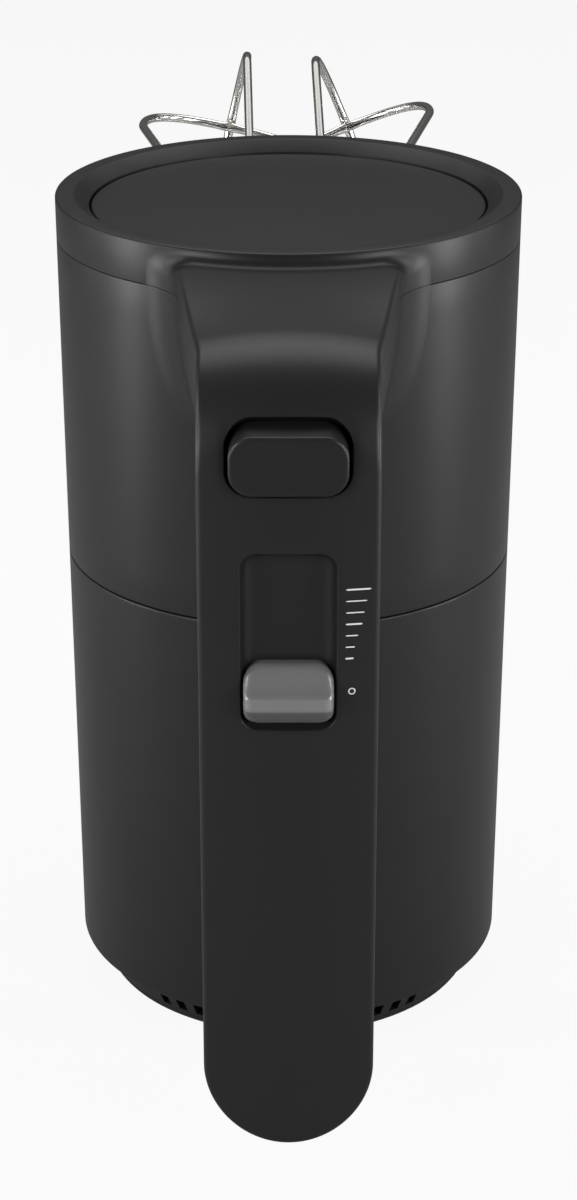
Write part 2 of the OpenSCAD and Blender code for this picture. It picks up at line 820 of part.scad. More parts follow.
module speed_knob() {
    face_y = -(handle_reach + 3.5);
    color(grey_knob) {
        intersection() {
            along_x(knob_w) polygon([
                [pocket_floor_y - 0.3, knob_z0], [face_y + 5, knob_z0], [face_y, knob_z0 + 4.8],
                [face_y, knob_z0 + 7.3], [face_y + 5, knob_z0 + knob_h],
                [pocket_floor_y - 0.3, knob_z0 + knob_h]]);
            along_y(face_y - 1, pocket_floor_y)
                round_rect(-knob_w / 2, knob_z0, knob_w / 2, knob_z0 + knob_h, 3);
        }
        box([-stem_half_w, pocket_floor_y - 0.4, knob_mid_z - stem_half_h],
            [stem_half_w, pocket_back_y + 0.7, knob_mid_z + stem_half_h]);
    }
}

module speed_sled() {
    color(cream_plastic) box([-7, pocket_back_y + 0.7, knob_z0], [7, sled_back_y, knob_z0 + knob_h]);
}

top_shell();
nose_disc();
front_housing();
rear_housing();
grip_shell();
heel_cover();
heel_pad();
socket_plate();
gearbox_frame();
gearbox_cover();
spindle_bushings();
worm_bearing();
motor_can();
motor_magnets();
motor_end_cap();
motor_bearings();
motor_brushes();
battery_cells();
battery_carrier();
battery_straps();
control_board();
charge_port();
charge_light();
switch_board();
switch_cable();
motor_leads();
eject_guide();
eject_spring();
frame_screws();
gearbox_screws();
motor_screws();
housing_screws();
heel_screws();
grip_screws();
motor_shaft();
armature_core();
armature_windings();
commutator();
drive_worm();
cooling_fan();
spindle(left);  // left_spindle
worm_wheel(left, 0);  // left_worm_wheel
spindle(right);  // right_spindle
worm_wheel(right, 180 + 180 / wheel_teeth);  // right_worm_wheel
ejector_pin(left);  // left_ejector_pin
ejector_pin(right);  // right_ejector_pin
beater_shaft(left);  // left_beater_shaft
beater_loop(left, 90 + left_phase, cage_end_y, 2.2, 6);  // left_upright_loop
beater_loop(left, left_phase, cage_end_y - loop_gap, 5.2, 0);  // left_level_loop
beater_shaft(right);  // right_beater_shaft
beater_loop(right, 90 + right_phase, cage_end_y, 2.2, -6);  // right_upright_loop
beater_loop(right, right_phase, cage_end_y - loop_gap, 5.2, 0);  // right_level_loop
eject_button();
eject_yoke();
speed_knob();
speed_sled();
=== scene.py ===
"""Looks of a cordless hand mixer: its shells, button, knob, marks and beater wires built as computed surfaces
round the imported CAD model, with procedural materials, plain studio light and a camera."""

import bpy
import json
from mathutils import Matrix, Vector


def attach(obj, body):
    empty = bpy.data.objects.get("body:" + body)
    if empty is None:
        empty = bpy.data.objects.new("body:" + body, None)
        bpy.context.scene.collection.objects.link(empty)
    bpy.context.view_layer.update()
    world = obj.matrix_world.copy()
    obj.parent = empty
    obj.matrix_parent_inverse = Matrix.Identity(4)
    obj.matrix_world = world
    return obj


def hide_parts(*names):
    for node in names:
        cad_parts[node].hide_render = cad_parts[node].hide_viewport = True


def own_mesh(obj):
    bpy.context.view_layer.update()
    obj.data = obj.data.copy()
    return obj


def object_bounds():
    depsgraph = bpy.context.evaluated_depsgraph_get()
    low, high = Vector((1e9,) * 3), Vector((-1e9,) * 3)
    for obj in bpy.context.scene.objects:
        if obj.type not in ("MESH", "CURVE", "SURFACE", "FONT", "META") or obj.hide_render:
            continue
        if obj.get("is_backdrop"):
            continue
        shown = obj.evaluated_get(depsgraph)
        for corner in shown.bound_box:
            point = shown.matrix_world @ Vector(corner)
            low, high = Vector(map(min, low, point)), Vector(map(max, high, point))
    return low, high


bl_info = {
    "name": "Cordless hand mixer",
    "version": (1, 0, 0),
    "blender": (4, 5, 0),
    "location": "View3D > Sidebar > Hand mixer",
    "description": "Builds the visible surfaces of a cordless hand mixer around its CAD model",
    "category": "Add Mesh",
}

import json
import math

import bmesh
import bpy
import numpy as np
from mathutils import Vector

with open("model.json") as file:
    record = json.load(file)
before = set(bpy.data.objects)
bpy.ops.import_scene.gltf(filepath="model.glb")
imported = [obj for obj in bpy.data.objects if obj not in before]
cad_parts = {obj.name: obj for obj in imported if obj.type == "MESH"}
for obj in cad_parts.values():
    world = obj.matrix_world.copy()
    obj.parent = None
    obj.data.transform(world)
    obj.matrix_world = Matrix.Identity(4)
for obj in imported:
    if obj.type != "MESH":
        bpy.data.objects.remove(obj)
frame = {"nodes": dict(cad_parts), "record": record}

# ---- Sizes in millimetres that the CAD model states ----

RIM_R = 46.0
RIM_Z = 171.0
WALL_SLOPE = 0.0065
BORE_R = 43.2
NOSE_SEAM_Z = 162.8
MID_SEAM_Z = 97.0
BODY_BOTTOM_Z = 8.5
REACH = 103.0
TIP_Z = 17.8
END_R = 16.0
END_Z = TIP_Z + END_R
BEND_Y = -83.0
BEND_Z = 148.5
BEND_R = 20.0
PANEL = 5.7
NECK_BOTTOM_Z = 130.0
INNER_Y = -79.0
INNER_BEND_R = 12.0
NECK_END_Y = INNER_Y + INNER_BEND_R
GRIP_SEAM_Z = 118.0
SKIN = 2.2
U_STEPS = 48
FILLET_R = 5.0
FLARE = 0.117
FLARE_Y = -88.0
HALF_W = 15.5
CROWN_R = 78.0
BUTTON_HALF = 10.05
BUTTON_Z = (146.1, 156.6)
BUTTON_FACE_Y = -104.0
POCKET_HALF = 8.2
POCKET_Z = (102.8, 135.5)
POCKET_DEPTH = 3.7
KNOB_HALF = 7.75
KNOB_Z = (103.4, 114.7)
KNOB_FACE_Y = -106.5
ROD_Z = sum(BUTTON_Z) / 2
SPRING_R = 4.2
SPRING_WIRE_R = 0.5
SPRING_TURNS = 8
SPRING_Y = (-94.4, -62.1)
GUIDE_Y = (-62.0, -58.5)
GUIDE_TOP_Z = 159.0
GUIDE_HALF = 15.0
GUIDE_BORE_R = 2.58
CABLE_NOTCH = (9.0, 141.0)
SPINDLE_X = 15.0
SPINDLE_Z = 144.7
HUB_Y = 83.0
CAGE_R = 22.0
CAGE_TIP_Y = 144.5
DOME_POWER = 2.6
UPRIGHT_WIRE = (165.6, 2.2)
LEVEL_WIRE = (163.35, 5.2)
WIRE_LEAN = 6.0
LEFT_PHASE = 12.5
RIGHT_PHASE = -22.2

# ---- Gaps at the seams, and steps between the marks, in millimetres ----

FINE_GAP = 0.05
GRIP_GAP = 0.12
MID_GAP = 0.16
MARK_TOP_Z = 128.9
MARK_STEP = 2.12
MARK_X = 9.7
OFF_RING = (10.85, 110.0, 0.63, 0.43)

NECK_RUN = -BEND_Y - RIM_R
BEND_END = NECK_RUN + BEND_R * math.pi / 2
TIP_S = BEND_END + BEND_Z - TIP_Z
END_S = TIP_S - END_R


# ---- Meshes ----

def smooth(t):
    """Smoothstep of t from 0 to 1."""
    t = np.clip(t, 0, 1)
    return t * t * (3 - 2 * t)


def quarter(d, r):
    """Height left under a quarter-round of radius r at the distance d from its edge:
    r - sqrt(r^2 - (r - d)^2)."""
    k = np.clip(r - d, 0, r)
    return r - np.sqrt(np.maximum(r * r - k * k, 0))


def make_object(name, points, faces, material, body, replaces=(), angle=32):
    """A closed mesh from points in millimetres, merged, turned outwards and shaded smooth under the angle."""
    mesh = bpy.data.meshes.new(name)
    mesh.from_pydata((np.asarray(points, float) / 1000).tolist(), [], [list(map(int, f)) for f in faces])
    work = bmesh.new()
    work.from_mesh(mesh)
    bmesh.ops.remove_doubles(work, verts=work.verts, dist=2e-6)
    bmesh.ops.dissolve_degenerate(work, edges=work.edges, dist=1e-7)
    bmesh.ops.recalc_face_normals(work, faces=work.faces)
    work.to_mesh(mesh)
    work.free()
    mesh.shade_smooth()
    mesh.set_sharp_from_angle(angle=math.radians(angle))
    mesh.materials.append(material)
    obj = bpy.data.objects.new(name, mesh)
    bpy.context.scene.collection.objects.link(obj)
    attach(obj, body)
    if replaces:
        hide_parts(*replaces)
    return obj


def rounded(corners, steps=5):
    """A closed profile through corners given as (a, b, radius), each replaced by an arc of that radius."""
    points = []
    count = len(corners)
    for i, (a, b, r) in enumerate(corners):
        here = np.array([a, b], float)
        before = np.array(corners[i - 1][:2], float) - here
        after = np.array(corners[(i + 1) % count][:2], float) - here
        if r <= 0:
            points.append(here)
            continue
        before /= np.linalg.norm(before)
        after /= np.linalg.norm(after)
        half = math.acos(np.clip(before @ after, -1, 1)) / 2
        bisector = before + after
        bisector /= np.linalg.norm(bisector)
        centre = here + bisector * r / math.sin(half)
        start = here + before * r / math.tan(half) - centre
        end = here + after * r / math.tan(half) - centre
        turn = math.atan2(start[0] * end[1] - start[1] * end[0], start @ end)
        for k in range(steps + 1):
            c, s = math.cos(turn * k / steps), math.sin(turn * k / steps)
            points.append(centre + [c * start[0] - s * start[1], s * start[0] + c * start[1]])
    return np.array(points)


def split_long(profile, longest):
    """The closed profile with its long sides cut into pieces no longer than the given length."""
    out = []
    for i, p in enumerate(profile):
        q = profile[(i + 1) % len(profile)]
        n = max(1, int(math.ceil(np.linalg.norm(q - p) / longest)))
        out.extend(p + (q - p) * k / n for k in range(n))
    return np.array(out)


def revolve(profile, steps=240):
    """Points and faces of a closed profile of (radius, z) turned about Z: (r cos a, r sin a, z)."""
    profile = np.asarray(profile, float)
    a = np.linspace(0, 2 * math.pi, steps, endpoint=False)
    r, z = profile[:, 0], profile[:, 1]
    points = np.stack([
        np.cos(a)[:, None] * r, np.sin(a)[:, None] * r, np.broadcast_to(z, (steps, len(z)))], axis=-1)
    n = len(profile)
    faces = [
        (i * n + k, ((i + 1) % steps) * n + k, ((i + 1) % steps) * n + (k + 1) % n, i * n + (k + 1) % n)
        for i in range(steps) for k in range(n)]
    return points.reshape(-1, 3), faces


def loft(rings, caps=True):
    """Points and faces through closed rings of equal length; caps close the first and last ring."""
    rings = np.asarray(rings, float)
    m, n = rings.shape[:2]
    faces = [
        (i * n + k, (i + 1) * n + k, (i + 1) * n + (k + 1) % n, i * n + (k + 1) % n)
        for i in range(m - 1) for k in range(n)]
    if caps:
        faces.append(tuple(range(n)))
        faces.append(tuple((m - 1) * n + k for k in range(n)))
    return rings.reshape(-1, 3), faces


def tube(path, radii, up, sides=16):
    """A wire of a given radius at each point of the path: point + r (cos a n + sin a b), with caps."""
    path = np.asarray(path, float)
    t = np.gradient(path, axis=0)
    t /= np.linalg.norm(t, axis=1)[:, None]
    n = np.cross(up, t)
    n /= np.linalg.norm(n, axis=1)[:, None]
    b = np.cross(t, n)
    a = np.linspace(0, 2 * math.pi, sides, endpoint=False)
    radii = np.asarray(radii, float)
    rings = (path[:, None] + radii[:, :1, None] * np.cos(a)[None, :, None] * n[:, None]
             + radii[:, 1:, None] * np.sin(a)[None, :, None] * b[:, None])
    return loft(rings)


def rect_outline(half_u, half_v, r, angles):
    """Points where rays at the angles from the centre meet a rounded rectangle, from its half sizes and its
    corner radius."""
    c, s = np.abs(np.cos(angles)), np.abs(np.sin(angles))
    cu, cv = half_u - r, half_v - r
    side = half_u / np.maximum(c, 1e-9)
    top = half_v / np.maximum(s, 1e-9)
    along = c * cu + s * cv
    corner = along + np.sqrt(np.maximum(along * along - (cu * cu + cv * cv) + r * r, 0))
    dist = np.where(side * s <= cv, side, np.where(top * c <= cu, top, corner))
    return np.stack([dist * np.cos(angles), dist * np.sin(angles)], axis=-1)


def plate(us, vs, outer, inner, holes=(), wrap=False):
    """A curved plate with thickness: the outer(u, v) and inner(u, v) surfaces on one grid, joined round the
    edge. A hole is a rectangle of the grid filled by a ring of faces out to its outline, then loops down its
    wall; it goes through to the inner surface, or ends on a flat floor."""
    us, vs = np.asarray(us, float), np.asarray(vs, float)
    nu, nv = len(us), len(vs)
    grid_u, grid_v = np.meshgrid(us, vs, indexing="ij")
    sheets = [outer(grid_u.ravel(), grid_v.ravel()), inner(grid_u.ravel(), grid_v.ravel())]
    points = list(np.concatenate(sheets))
    faces = []
    count = nu * nv
    spans_u = nu if wrap else nu - 1
    boxes = []
    for h in holes:
        i0, i1 = [int(np.argmin(abs(us - x))) for x in h["rect"][:2]]
        j0, j1 = [int(np.argmin(abs(vs - x))) for x in h["rect"][2:]]
        boxes.append((i0, i1, j0, j1))
    for sheet in (0, 1):
        for i in range(spans_u):
            for j in range(nv - 1):
                inside = [
                    i0 <= i < i1 and j0 <= j < j1 and (sheet == 0 or h["through"])
                    for (i0, i1, j0, j1), h in zip(boxes, holes)]
                if any(inside):
                    continue
                k, m = i * nv + j, ((i + 1) % nu) * nv + j
                faces.append(tuple(sheet * count + x for x in (k, m, m + 1, k + 1)))
    edge = [(i * nv, ((i + 1) % nu) * nv) for i in range(spans_u)]
    edge += [(i * nv + nv - 1, ((i + 1) % nu) * nv + nv - 1) for i in range(spans_u)]
    if not wrap:
        edge += [(j, j + 1) for j in range(nv - 1)]
        edge += [((nu - 1) * nv + j, (nu - 1) * nv + j + 1) for j in range(nv - 1)]
    faces += [(a, b, count + b, count + a) for a, b in edge]
    for (i0, i1, j0, j1), h in zip(boxes, holes):
        loop = [(i, j0) for i in range(i0, i1)] + [(i1, j) for j in range(j0, j1)]
        loop += [(i, j1) for i in range(i1, i0, -1)] + [(i0, j) for j in range(j1, j0, -1)]
        ids = np.array([i * nv + j for i, j in loop])
        n = len(ids)
        across = h["to_u"](us[[i for i, j in loop]])
        along = h["to_v"](vs[[j for i, j in loop]])
        angles = np.arctan2(along, across)
        rings = [ids]
        for inset, depth in h["steps"]:
            half_u, half_v = h["half"]
            p = rect_outline(half_u - inset, half_v - inset, max(h["r"] - inset, 0.15), angles)
            at = outer(h["from_u"](p[:, 0]), h["from_v"](p[:, 1]))
            at = at + np.outer(np.full(n, depth), h["into"])
            if "floor" in h and depth >= h["flat_from"]:
                at = h["floor"](p, depth)
            rings.append(len(points) + np.arange(n))
            points.extend(at)
        if h["through"]:
            p = rect_outline(h["half"][0], h["half"][1], h["r"], angles)
            at = inner(h["from_u"](p[:, 0]), h["from_v"](p[:, 1]))
            rings.append(len(points) + np.arange(n))
            points.extend(at)
            rings.append(count + ids)
        else:
            faces.append(tuple(rings[-1]))
        for a, b in zip(rings, rings[1:]):
            faces += [(a[k], a[(k + 1) % n], b[(k + 1) % n], b[k]) for k in range(n)]
    return np.array(points), faces


def lip(e, parts=4):
    """The round edge of a hole as steps of (inset, depth): (-e (1 - sin a), e (1 - cos a)) over a quarter
    turn."""
    angles = np.radians(np.linspace(0, 90, parts + 1))
    return [(-e * (1 - math.sin(a)), e * (1 - math.cos(a))) for a in angles]


def spread(lo, hi, step, fixed=()):
    """Values from lo to hi no further apart than the step, with the fixed values among them."""
    marks = sorted({lo, hi, *[f for f in fixed if lo < f < hi]})
    out = []
    for a, b in zip(marks, marks[1:]):
        n = max(1, int(math.ceil((b - a) / step)))
        out.extend(a + (b - a) * k / n for k in range(n))
    out.append(hi)
    return np.array(out)


# ---- Shape of the body, neck and handle ----

def wall_r(z):
    """Radius of the body at the height z."""
    return RIM_R - (RIM_Z - z) * WALL_SLOPE


def flare(t):
    """How far the neck widens at the distance t from the wall: a fillet."""
    return quarter(np.clip(t, 0, FILLET_R), FILLET_R)


def half_width(t, y):
    """Half-width of the neck and handle where the outer surface is at y, t from the wall."""
    return HALF_W + np.maximum(0, FLARE * (y - FLARE_Y)) + flare(t)


def curve_shift(x, t, r=RIM_R):
    """How much nearer the axis a row of points lies at x than at x = 0, so that rows by the wall follow it:
    R - sqrt(R^2 - x^2), fading out along the neck."""
    radius = r + np.maximum(t, -3)
    shift = radius - np.sqrt(np.maximum(radius ** 2 - x ** 2, 1))
    return shift * (1 - smooth((t - 5) / 14))


def path_point(s, depth):
    """Point (y, z) and outward direction of the line at a depth under the neck's top and the handle's front,
    at the run s from the wall."""
    a = np.clip((s - NECK_RUN) / BEND_R, 0, math.pi / 2)
    ny, nz = -np.sin(a), np.cos(a)
    y = np.where(s < NECK_RUN, -(RIM_R + s), BEND_Y + (BEND_R - depth) * ny)
    z = BEND_Z + (BEND_R - depth) * nz
    z = np.where(s > BEND_END, BEND_Z - (s - BEND_END), z)
    return y, z, ny, nz


def outline_width(s):
    """Half-width of the panel's outline at the run s, with its round end."""
    y = path_point(s, 0)[0]
    w = half_width(s, y)
    w = half_width(s, np.minimum(y + curve_shift(w, s), -30))
    w = half_width(s, np.minimum(y + curve_shift(w, s), -30))
    past = np.clip((s - END_S) / END_R, 0, 1)
    return w * np.sqrt(np.maximum(1 - past ** 2, 0))


def panel_outer(u, s):
    """The panel's face: across u from -1 to 1 and along the run s. Depth is a crown R - sqrt(R^2 - x^2), plus
    a quarter-round by the distance to the outline that grows where the neck meets the wall."""
    w = outline_width(s)
    x = w * u
    past = np.clip(s - END_S, 0, END_R)
    ring = np.sqrt(np.clip((x / HALF_W) ** 2 + (past / END_R) ** 2, 0, 1))
    edge = np.where(s > END_S, (1 - ring) * (HALF_W + END_R) / 2, w * (1 - np.abs(u)))
    near = 1 - smooth(s / 6)
    r_edge = 0.85 + 2.6 * near
    depth = (CROWN_R - np.sqrt(CROWN_R ** 2 - x ** 2)) * smooth((s - 8) / 30)
    depth = depth + quarter(edge / (1 + near), r_edge)
    depth = depth - quarter(np.clip(s, 0, 2.2), 2.2)
    y, z, ny, nz = path_point(s, 0)
    y = y - ny * depth + curve_shift(x, s)
    return np.stack([x, y, z - nz * depth], axis=-1)


def panel_inner(u, s):
    """The panel's underside, at a constant depth, just clear of the seam."""
    x = outline_width(s) * u
    y, z = path_point(s, PANEL - FINE_GAP)[:2]
    return np.stack([x, y + curve_shift(x, s), z], axis=-1)


def run_of_z(z):
    """The run s at which the outer surface has the height z, on the bend or the handle."""
    a = np.arcsin(np.clip((z - BEND_Z) / BEND_R, 0, 1))
    return np.where(z > BEND_Z, NECK_RUN + BEND_R * (math.pi / 2 - a), BEND_END + BEND_Z - z)


def z_of_run(s):
    """The height of the outer surface at the run s."""
    return path_point(s, 0)[1]


def shell_rows(stage):
    """Rows of the shell under the panel, as (outer y, outer z, inner y, inner z, half-width, distance from
    the wall). The outer line is the seam under the panel and the inner line faces the body."""
    rows = []
    if stage == "neck":
        for t in np.concatenate([[-1.6, 0], 5 * (1 - np.cos(np.radians(np.arange(8, 91, 8)))),
                                 np.linspace(5.6, NECK_RUN, 26)]):
            s = max(t, 0)
            inner_y = outer_y = -(RIM_R + t)
            if t >= FILLET_R:
                share = (t - FILLET_R) / (NECK_RUN - FILLET_R)
                inner_y = -(RIM_R + FILLET_R) - share * (-NECK_END_Y - RIM_R - FILLET_R)
            inner_z = NECK_BOTTOM_Z - 0.6 * float(flare(s))
            w = float(outline_width(np.array([s]))[0])
            rows.append((outer_y, NOSE_SEAM_Z - FINE_GAP, inner_y, inner_z, w, t))
        run0 = BEND_R * math.pi / 2
        run1 = run0 + BEND_Z - GRIP_SEAM_Z
        for v in np.linspace(0, 1, 49)[1:]:
            run = v * run1
            y, z = path_point(np.array([NECK_RUN + min(run, run0)]), PANEL + FINE_GAP)[:2]
            outer_z = float(z[0]) if run < run0 else BEND_Z - (run - run0)
            a = math.pi / 2 * v
            inner_y = NECK_END_Y - INNER_BEND_R * math.sin(a)
            inner_z = GRIP_SEAM_Z + INNER_BEND_R * math.cos(a)
            w = float(outline_width(np.array([NECK_RUN + run]))[0])
            rows.append((float(y[0]), outer_z, inner_y, inner_z, w, 60.0))
        last = rows[-1]
        rows[-1] = (last[0], GRIP_SEAM_Z + GRIP_GAP, last[2], GRIP_SEAM_Z + GRIP_GAP, last[4], last[5])
        return rows
    y = -(REACH - PANEL - FINE_GAP)
    heights = np.concatenate([
        [GRIP_SEAM_Z - GRIP_GAP], np.linspace(GRIP_SEAM_Z - 1.5, END_Z, 60),
        END_Z - END_R * np.sin(np.radians(np.arange(3, 88, 3)))])
    for z in heights:
        past = np.clip((END_Z - z) / END_R, 0, 1)
        w = HALF_W * math.sqrt(1 - past ** 2)
        lift = 9 * (1 - math.sqrt(1 - past ** 2))
        rows.append((y, z, INNER_Y - lift, z, w, 60.0))
    return rows


def u_power(t):
    """The power of the U-shaped section, from 2.2 at the wall to 3 on the handle."""
    return 2.2 + 0.8 * float(smooth(t / 40))


def shell_rings(rows):
    """Rings of a U-shaped shell: x = w cos^(2/p), depth from the seam to the inner line sin^(2/p), then back
    along the same curve moved in by the skin."""
    a = np.linspace(0, math.pi, U_STEPS)
    rings = []
    for oy, oz, iy, iz, w, t in rows:
        p = u_power(t)
        c = np.sign(np.cos(a)) * np.abs(np.cos(a)) ** (2 / p)
        d = np.abs(np.sin(a)) ** (2 / p)
        thick = min(SKIN, 0.45 * w)
        span = math.hypot(iy - oy, iz - oz)
        outer_x, inner_x = w * c, (w - thick) * c
        share = (span - thick) / span
        x = np.concatenate([outer_x, inner_x[::-1]])
        depth = np.concatenate([d, d[::-1] * share])
        y = oy + (iy - oy) * depth
        z = oz + (iz - oz) * depth
        y = y + curve_shift(x, t)
        rings.append(np.stack([x, y, z], axis=-1))
    return rings


# ---- Materials ----

def new_group(name, inputs, outputs):
    """A shared node group with the given sockets, each (name, type, value)."""
    group = bpy.data.node_groups.new(name, "ShaderNodeTree")
    for label, kind, value in inputs:
        socket = group.interface.new_socket(name=label, in_out="INPUT", socket_type=kind)
        if value is not None:
            socket.default_value = value
    for label, kind in outputs:
        group.interface.new_socket(name=label, in_out="OUTPUT", socket_type=kind)
    return group, group.nodes.new("NodeGroupInput"), group.nodes.new("NodeGroupOutput")


def node(tree, kind, **values):
    """A node with some of its properties set."""
    made = tree.nodes.new(kind)
    for key, value in values.items():
        setattr(made, key, value)
    return made


def grain_group():
    """Spark-eroded grain: fine noise as a normal, and slow noise as finger wear on the roughness."""
    group, inside, outside = new_group(
        "Moulded grain",
        [("Vector", "NodeSocketVector", None), ("Scale", "NodeSocketFloat", 2600.0),
         ("Height", "NodeSocketFloat", 0.1), ("Roughness", "NodeSocketFloat", 0.4),
         ("Wear", "NodeSocketFloat", 0.06)],
        [("Normal", "NodeSocketVector"), ("Roughness", "NodeSocketFloat")])
    fine = node(group, "ShaderNodeTexNoise")
    fine.inputs["Detail"].default_value = 3.0
    group.links.new(inside.outputs["Vector"], fine.inputs["Vector"])
    group.links.new(inside.outputs["Scale"], fine.inputs["Scale"])
    bump = node(group, "ShaderNodeBump")
    bump.inputs["Distance"].default_value = 0.00005
    group.links.new(inside.outputs["Height"], bump.inputs["Strength"])
    group.links.new(fine.outputs["Fac"], bump.inputs["Height"])
    group.links.new(bump.outputs["Normal"], outside.inputs["Normal"])
    slow = node(group, "ShaderNodeTexNoise")
    slow.inputs["Scale"].default_value = 38.0
    slow.inputs["Detail"].default_value = 4.0
    group.links.new(inside.outputs["Vector"], slow.inputs["Vector"])
    centred = node(group, "ShaderNodeMath", operation="SUBTRACT")
    centred.inputs[1].default_value = 0.5
    group.links.new(slow.outputs["Fac"], centred.inputs[0])
    scaled = node(group, "ShaderNodeMath", operation="MULTIPLY")
    group.links.new(centred.outputs[0], scaled.inputs[0])
    group.links.new(inside.outputs["Wear"], scaled.inputs[1])
    total = node(group, "ShaderNodeMath", operation="ADD")
    group.links.new(scaled.outputs[0], total.inputs[0])
    group.links.new(inside.outputs["Roughness"], total.inputs[1])
    group.links.new(total.outputs[0], outside.inputs["Roughness"])
    return group


def tint_group():
    """A colour moved a little lighter or darker by slow noise."""
    group, inside, outside = new_group(
        "Slow tint",
        [("Vector", "NodeSocketVector", None), ("Color", "NodeSocketColor", (0.5, 0.5, 0.5, 1.0)),
         ("Scale", "NodeSocketFloat", 60.0), ("Amount", "NodeSocketFloat", 0.15)],
        [("Color", "NodeSocketColor")])
    slow = node(group, "ShaderNodeTexNoise")
    slow.inputs["Detail"].default_value = 3.0
    group.links.new(inside.outputs["Vector"], slow.inputs["Vector"])
    group.links.new(inside.outputs["Scale"], slow.inputs["Scale"])
    spread_node = node(group, "ShaderNodeMath", operation="MULTIPLY_ADD")
    group.links.new(slow.outputs["Fac"], spread_node.inputs[0])
    group.links.new(inside.outputs["Amount"], spread_node.inputs[1])
    spread_node.inputs[2].default_value = 1.0
    shift = node(group, "ShaderNodeMath", operation="MULTIPLY_ADD")
    group.links.new(inside.outputs["Amount"], shift.inputs[0])
    shift.inputs[1].default_value = -0.5
    group.links.new(spread_node.outputs[0], shift.inputs[2])
    scaled = node(group, "ShaderNodeVectorMath", operation="SCALE")
    group.links.new(inside.outputs["Color"], scaled.inputs[0])
    group.links.new(shift.outputs[0], scaled.inputs["Scale"])
    group.links.new(scaled.outputs["Vector"], outside.inputs["Color"])
    return group


GROUPS = {}


def material(name, color, roughness, metallic=0.0, specular=0.5, grain=0.1, scale=2600.0, wear=0.06,
             tint=0.15, stretch=(1.0, 1.0, 1.0)):
    """A procedural material: constants on the Principled shader, the tint and grain groups on its colour,
    normal and roughness, all by Object coordinates."""
    if not GROUPS:
        GROUPS["grain"] = grain_group()
        GROUPS["tint"] = tint_group()
    made = bpy.data.materials.new(name)
    made.use_nodes = True
    tree = made.node_tree
    shader = tree.nodes["Principled BSDF"]
    shader.inputs["Metallic"].default_value = metallic
    shader.inputs["Specular IOR Level"].default_value = specular
    where = node(tree, "ShaderNodeTexCoord")
    mapping = node(tree, "ShaderNodeMapping")
    mapping.inputs["Scale"].default_value = stretch
    tree.links.new(where.outputs["Object"], mapping.inputs["Vector"])
    colour = node(tree, "ShaderNodeGroup", node_tree=GROUPS["tint"])
    colour.inputs["Color"].default_value = (*color, 1.0)
    colour.inputs["Amount"].default_value = tint
    tree.links.new(mapping.outputs["Vector"], colour.inputs["Vector"])
    tree.links.new(colour.outputs["Color"], shader.inputs["Base Color"])
    surface = node(tree, "ShaderNodeGroup", node_tree=GROUPS["grain"])
    surface.inputs["Scale"].default_value = scale
    surface.inputs["Height"].default_value = grain
    surface.inputs["Roughness"].default_value = roughness
    surface.inputs["Wear"].default_value = wear
    tree.links.new(mapping.outputs["Vector"], surface.inputs["Vector"])
    tree.links.new(surface.outputs["Normal"], shader.inputs["Normal"])
    tree.links.new(surface.outputs["Roughness"], shader.inputs["Roughness"])
    return made


MATERIALS = {}

SLOT_LOOKS = {
    "matte_black_plastic": dict(color=(0.014, 0.014, 0.0145), roughness=0.37, specular=0.3, grain=0.1),
    "soft_black_plastic": dict(color=(0.013, 0.013, 0.0135), roughness=0.46, specular=0.3, grain=0.2),
    "rubber_pad": dict(color=(0.02, 0.02, 0.02), roughness=0.75, specular=0.3, grain=0.3, scale=1500.0),
    "knob_grey": dict(color=(0.25, 0.25, 0.255), roughness=0.27, metallic=0.4, grain=0.05),
    "bright_steel": dict(color=(0.78, 0.77, 0.74), roughness=0.14, metallic=1.0, grain=0.03, tint=0.05),
    "plain_steel": dict(color=(0.5, 0.5, 0.5), roughness=0.3, metallic=1.0, grain=0.08),
    "zinc_casting": dict(color=(0.42, 0.43, 0.45), roughness=0.5, metallic=0.9, grain=0.3, scale=900.0),
    "sintered_bronze": dict(color=(0.42, 0.26, 0.12), roughness=0.45, metallic=0.9, grain=0.25),
    "copper_wire": dict(color=(0.6, 0.25, 0.1), roughness=0.3, metallic=1.0, grain=0.3, scale=1200.0),
    "iron_laminations": dict(color=(0.22, 0.22, 0.23), roughness=0.5, metallic=0.9, grain=0.3,
                             stretch=(0.05, 0.05, 1.0)),
    "magnet_ferrite": dict(color=(0.04, 0.04, 0.042), roughness=0.6, grain=0.25),
    "carbon_brush": dict(color=(0.03, 0.03, 0.03), roughness=0.55, grain=0.3),
    "cream_nylon": dict(color=(0.62, 0.58, 0.48), roughness=0.45, grain=0.1),
    "cell_sleeve": dict(color=(0.05, 0.16, 0.34), roughness=0.35, grain=0.05),
    "circuit_board": dict(color=(0.02, 0.12, 0.05), roughness=0.4, grain=0.1),
    "clear_lens": dict(color=(0.8, 0.82, 0.84), roughness=0.15, grain=0.02),
    "cable_grey": dict(color=(0.2, 0.2, 0.21), roughness=0.5, grain=0.1),
    "cable_red": dict(color=(0.4, 0.03, 0.02), roughness=0.45, grain=0.1),
    "ink": dict(color=(0.78, 0.78, 0.78), roughness=0.5, grain=0.05, tint=0.05),
}


def look(slot):
    """The material of a slot, made once."""
    if slot not in MATERIALS:
        MATERIALS[slot] = material(slot, **SLOT_LOOKS[slot])
    return MATERIALS[slot]


# ---- Pieces ----

def build_nose_ring():
    """The ring of the top shell: a profile of revolution with the flat rim, the bevel and the ledge."""
    profile = rounded([
        (wall_r(NOSE_SEAM_Z), NOSE_SEAM_Z + FINE_GAP, 0.09), (RIM_R, RIM_Z, 0.5), (42.3, RIM_Z, 0.35),
        (39.35, 168.8, 0.3), (39.35, 166.2, 0.2), (36, 166.2, 0.3), (36, 164.4, 0.3), (BORE_R, 164.4, 0.3),
        (BORE_R, NOSE_SEAM_Z + FINE_GAP, 0.3)])
    points, faces = revolve(profile)
    return make_object("nose_ring", points, faces, look("matte_black_plastic"), "housing",
                       ["top_shell"])


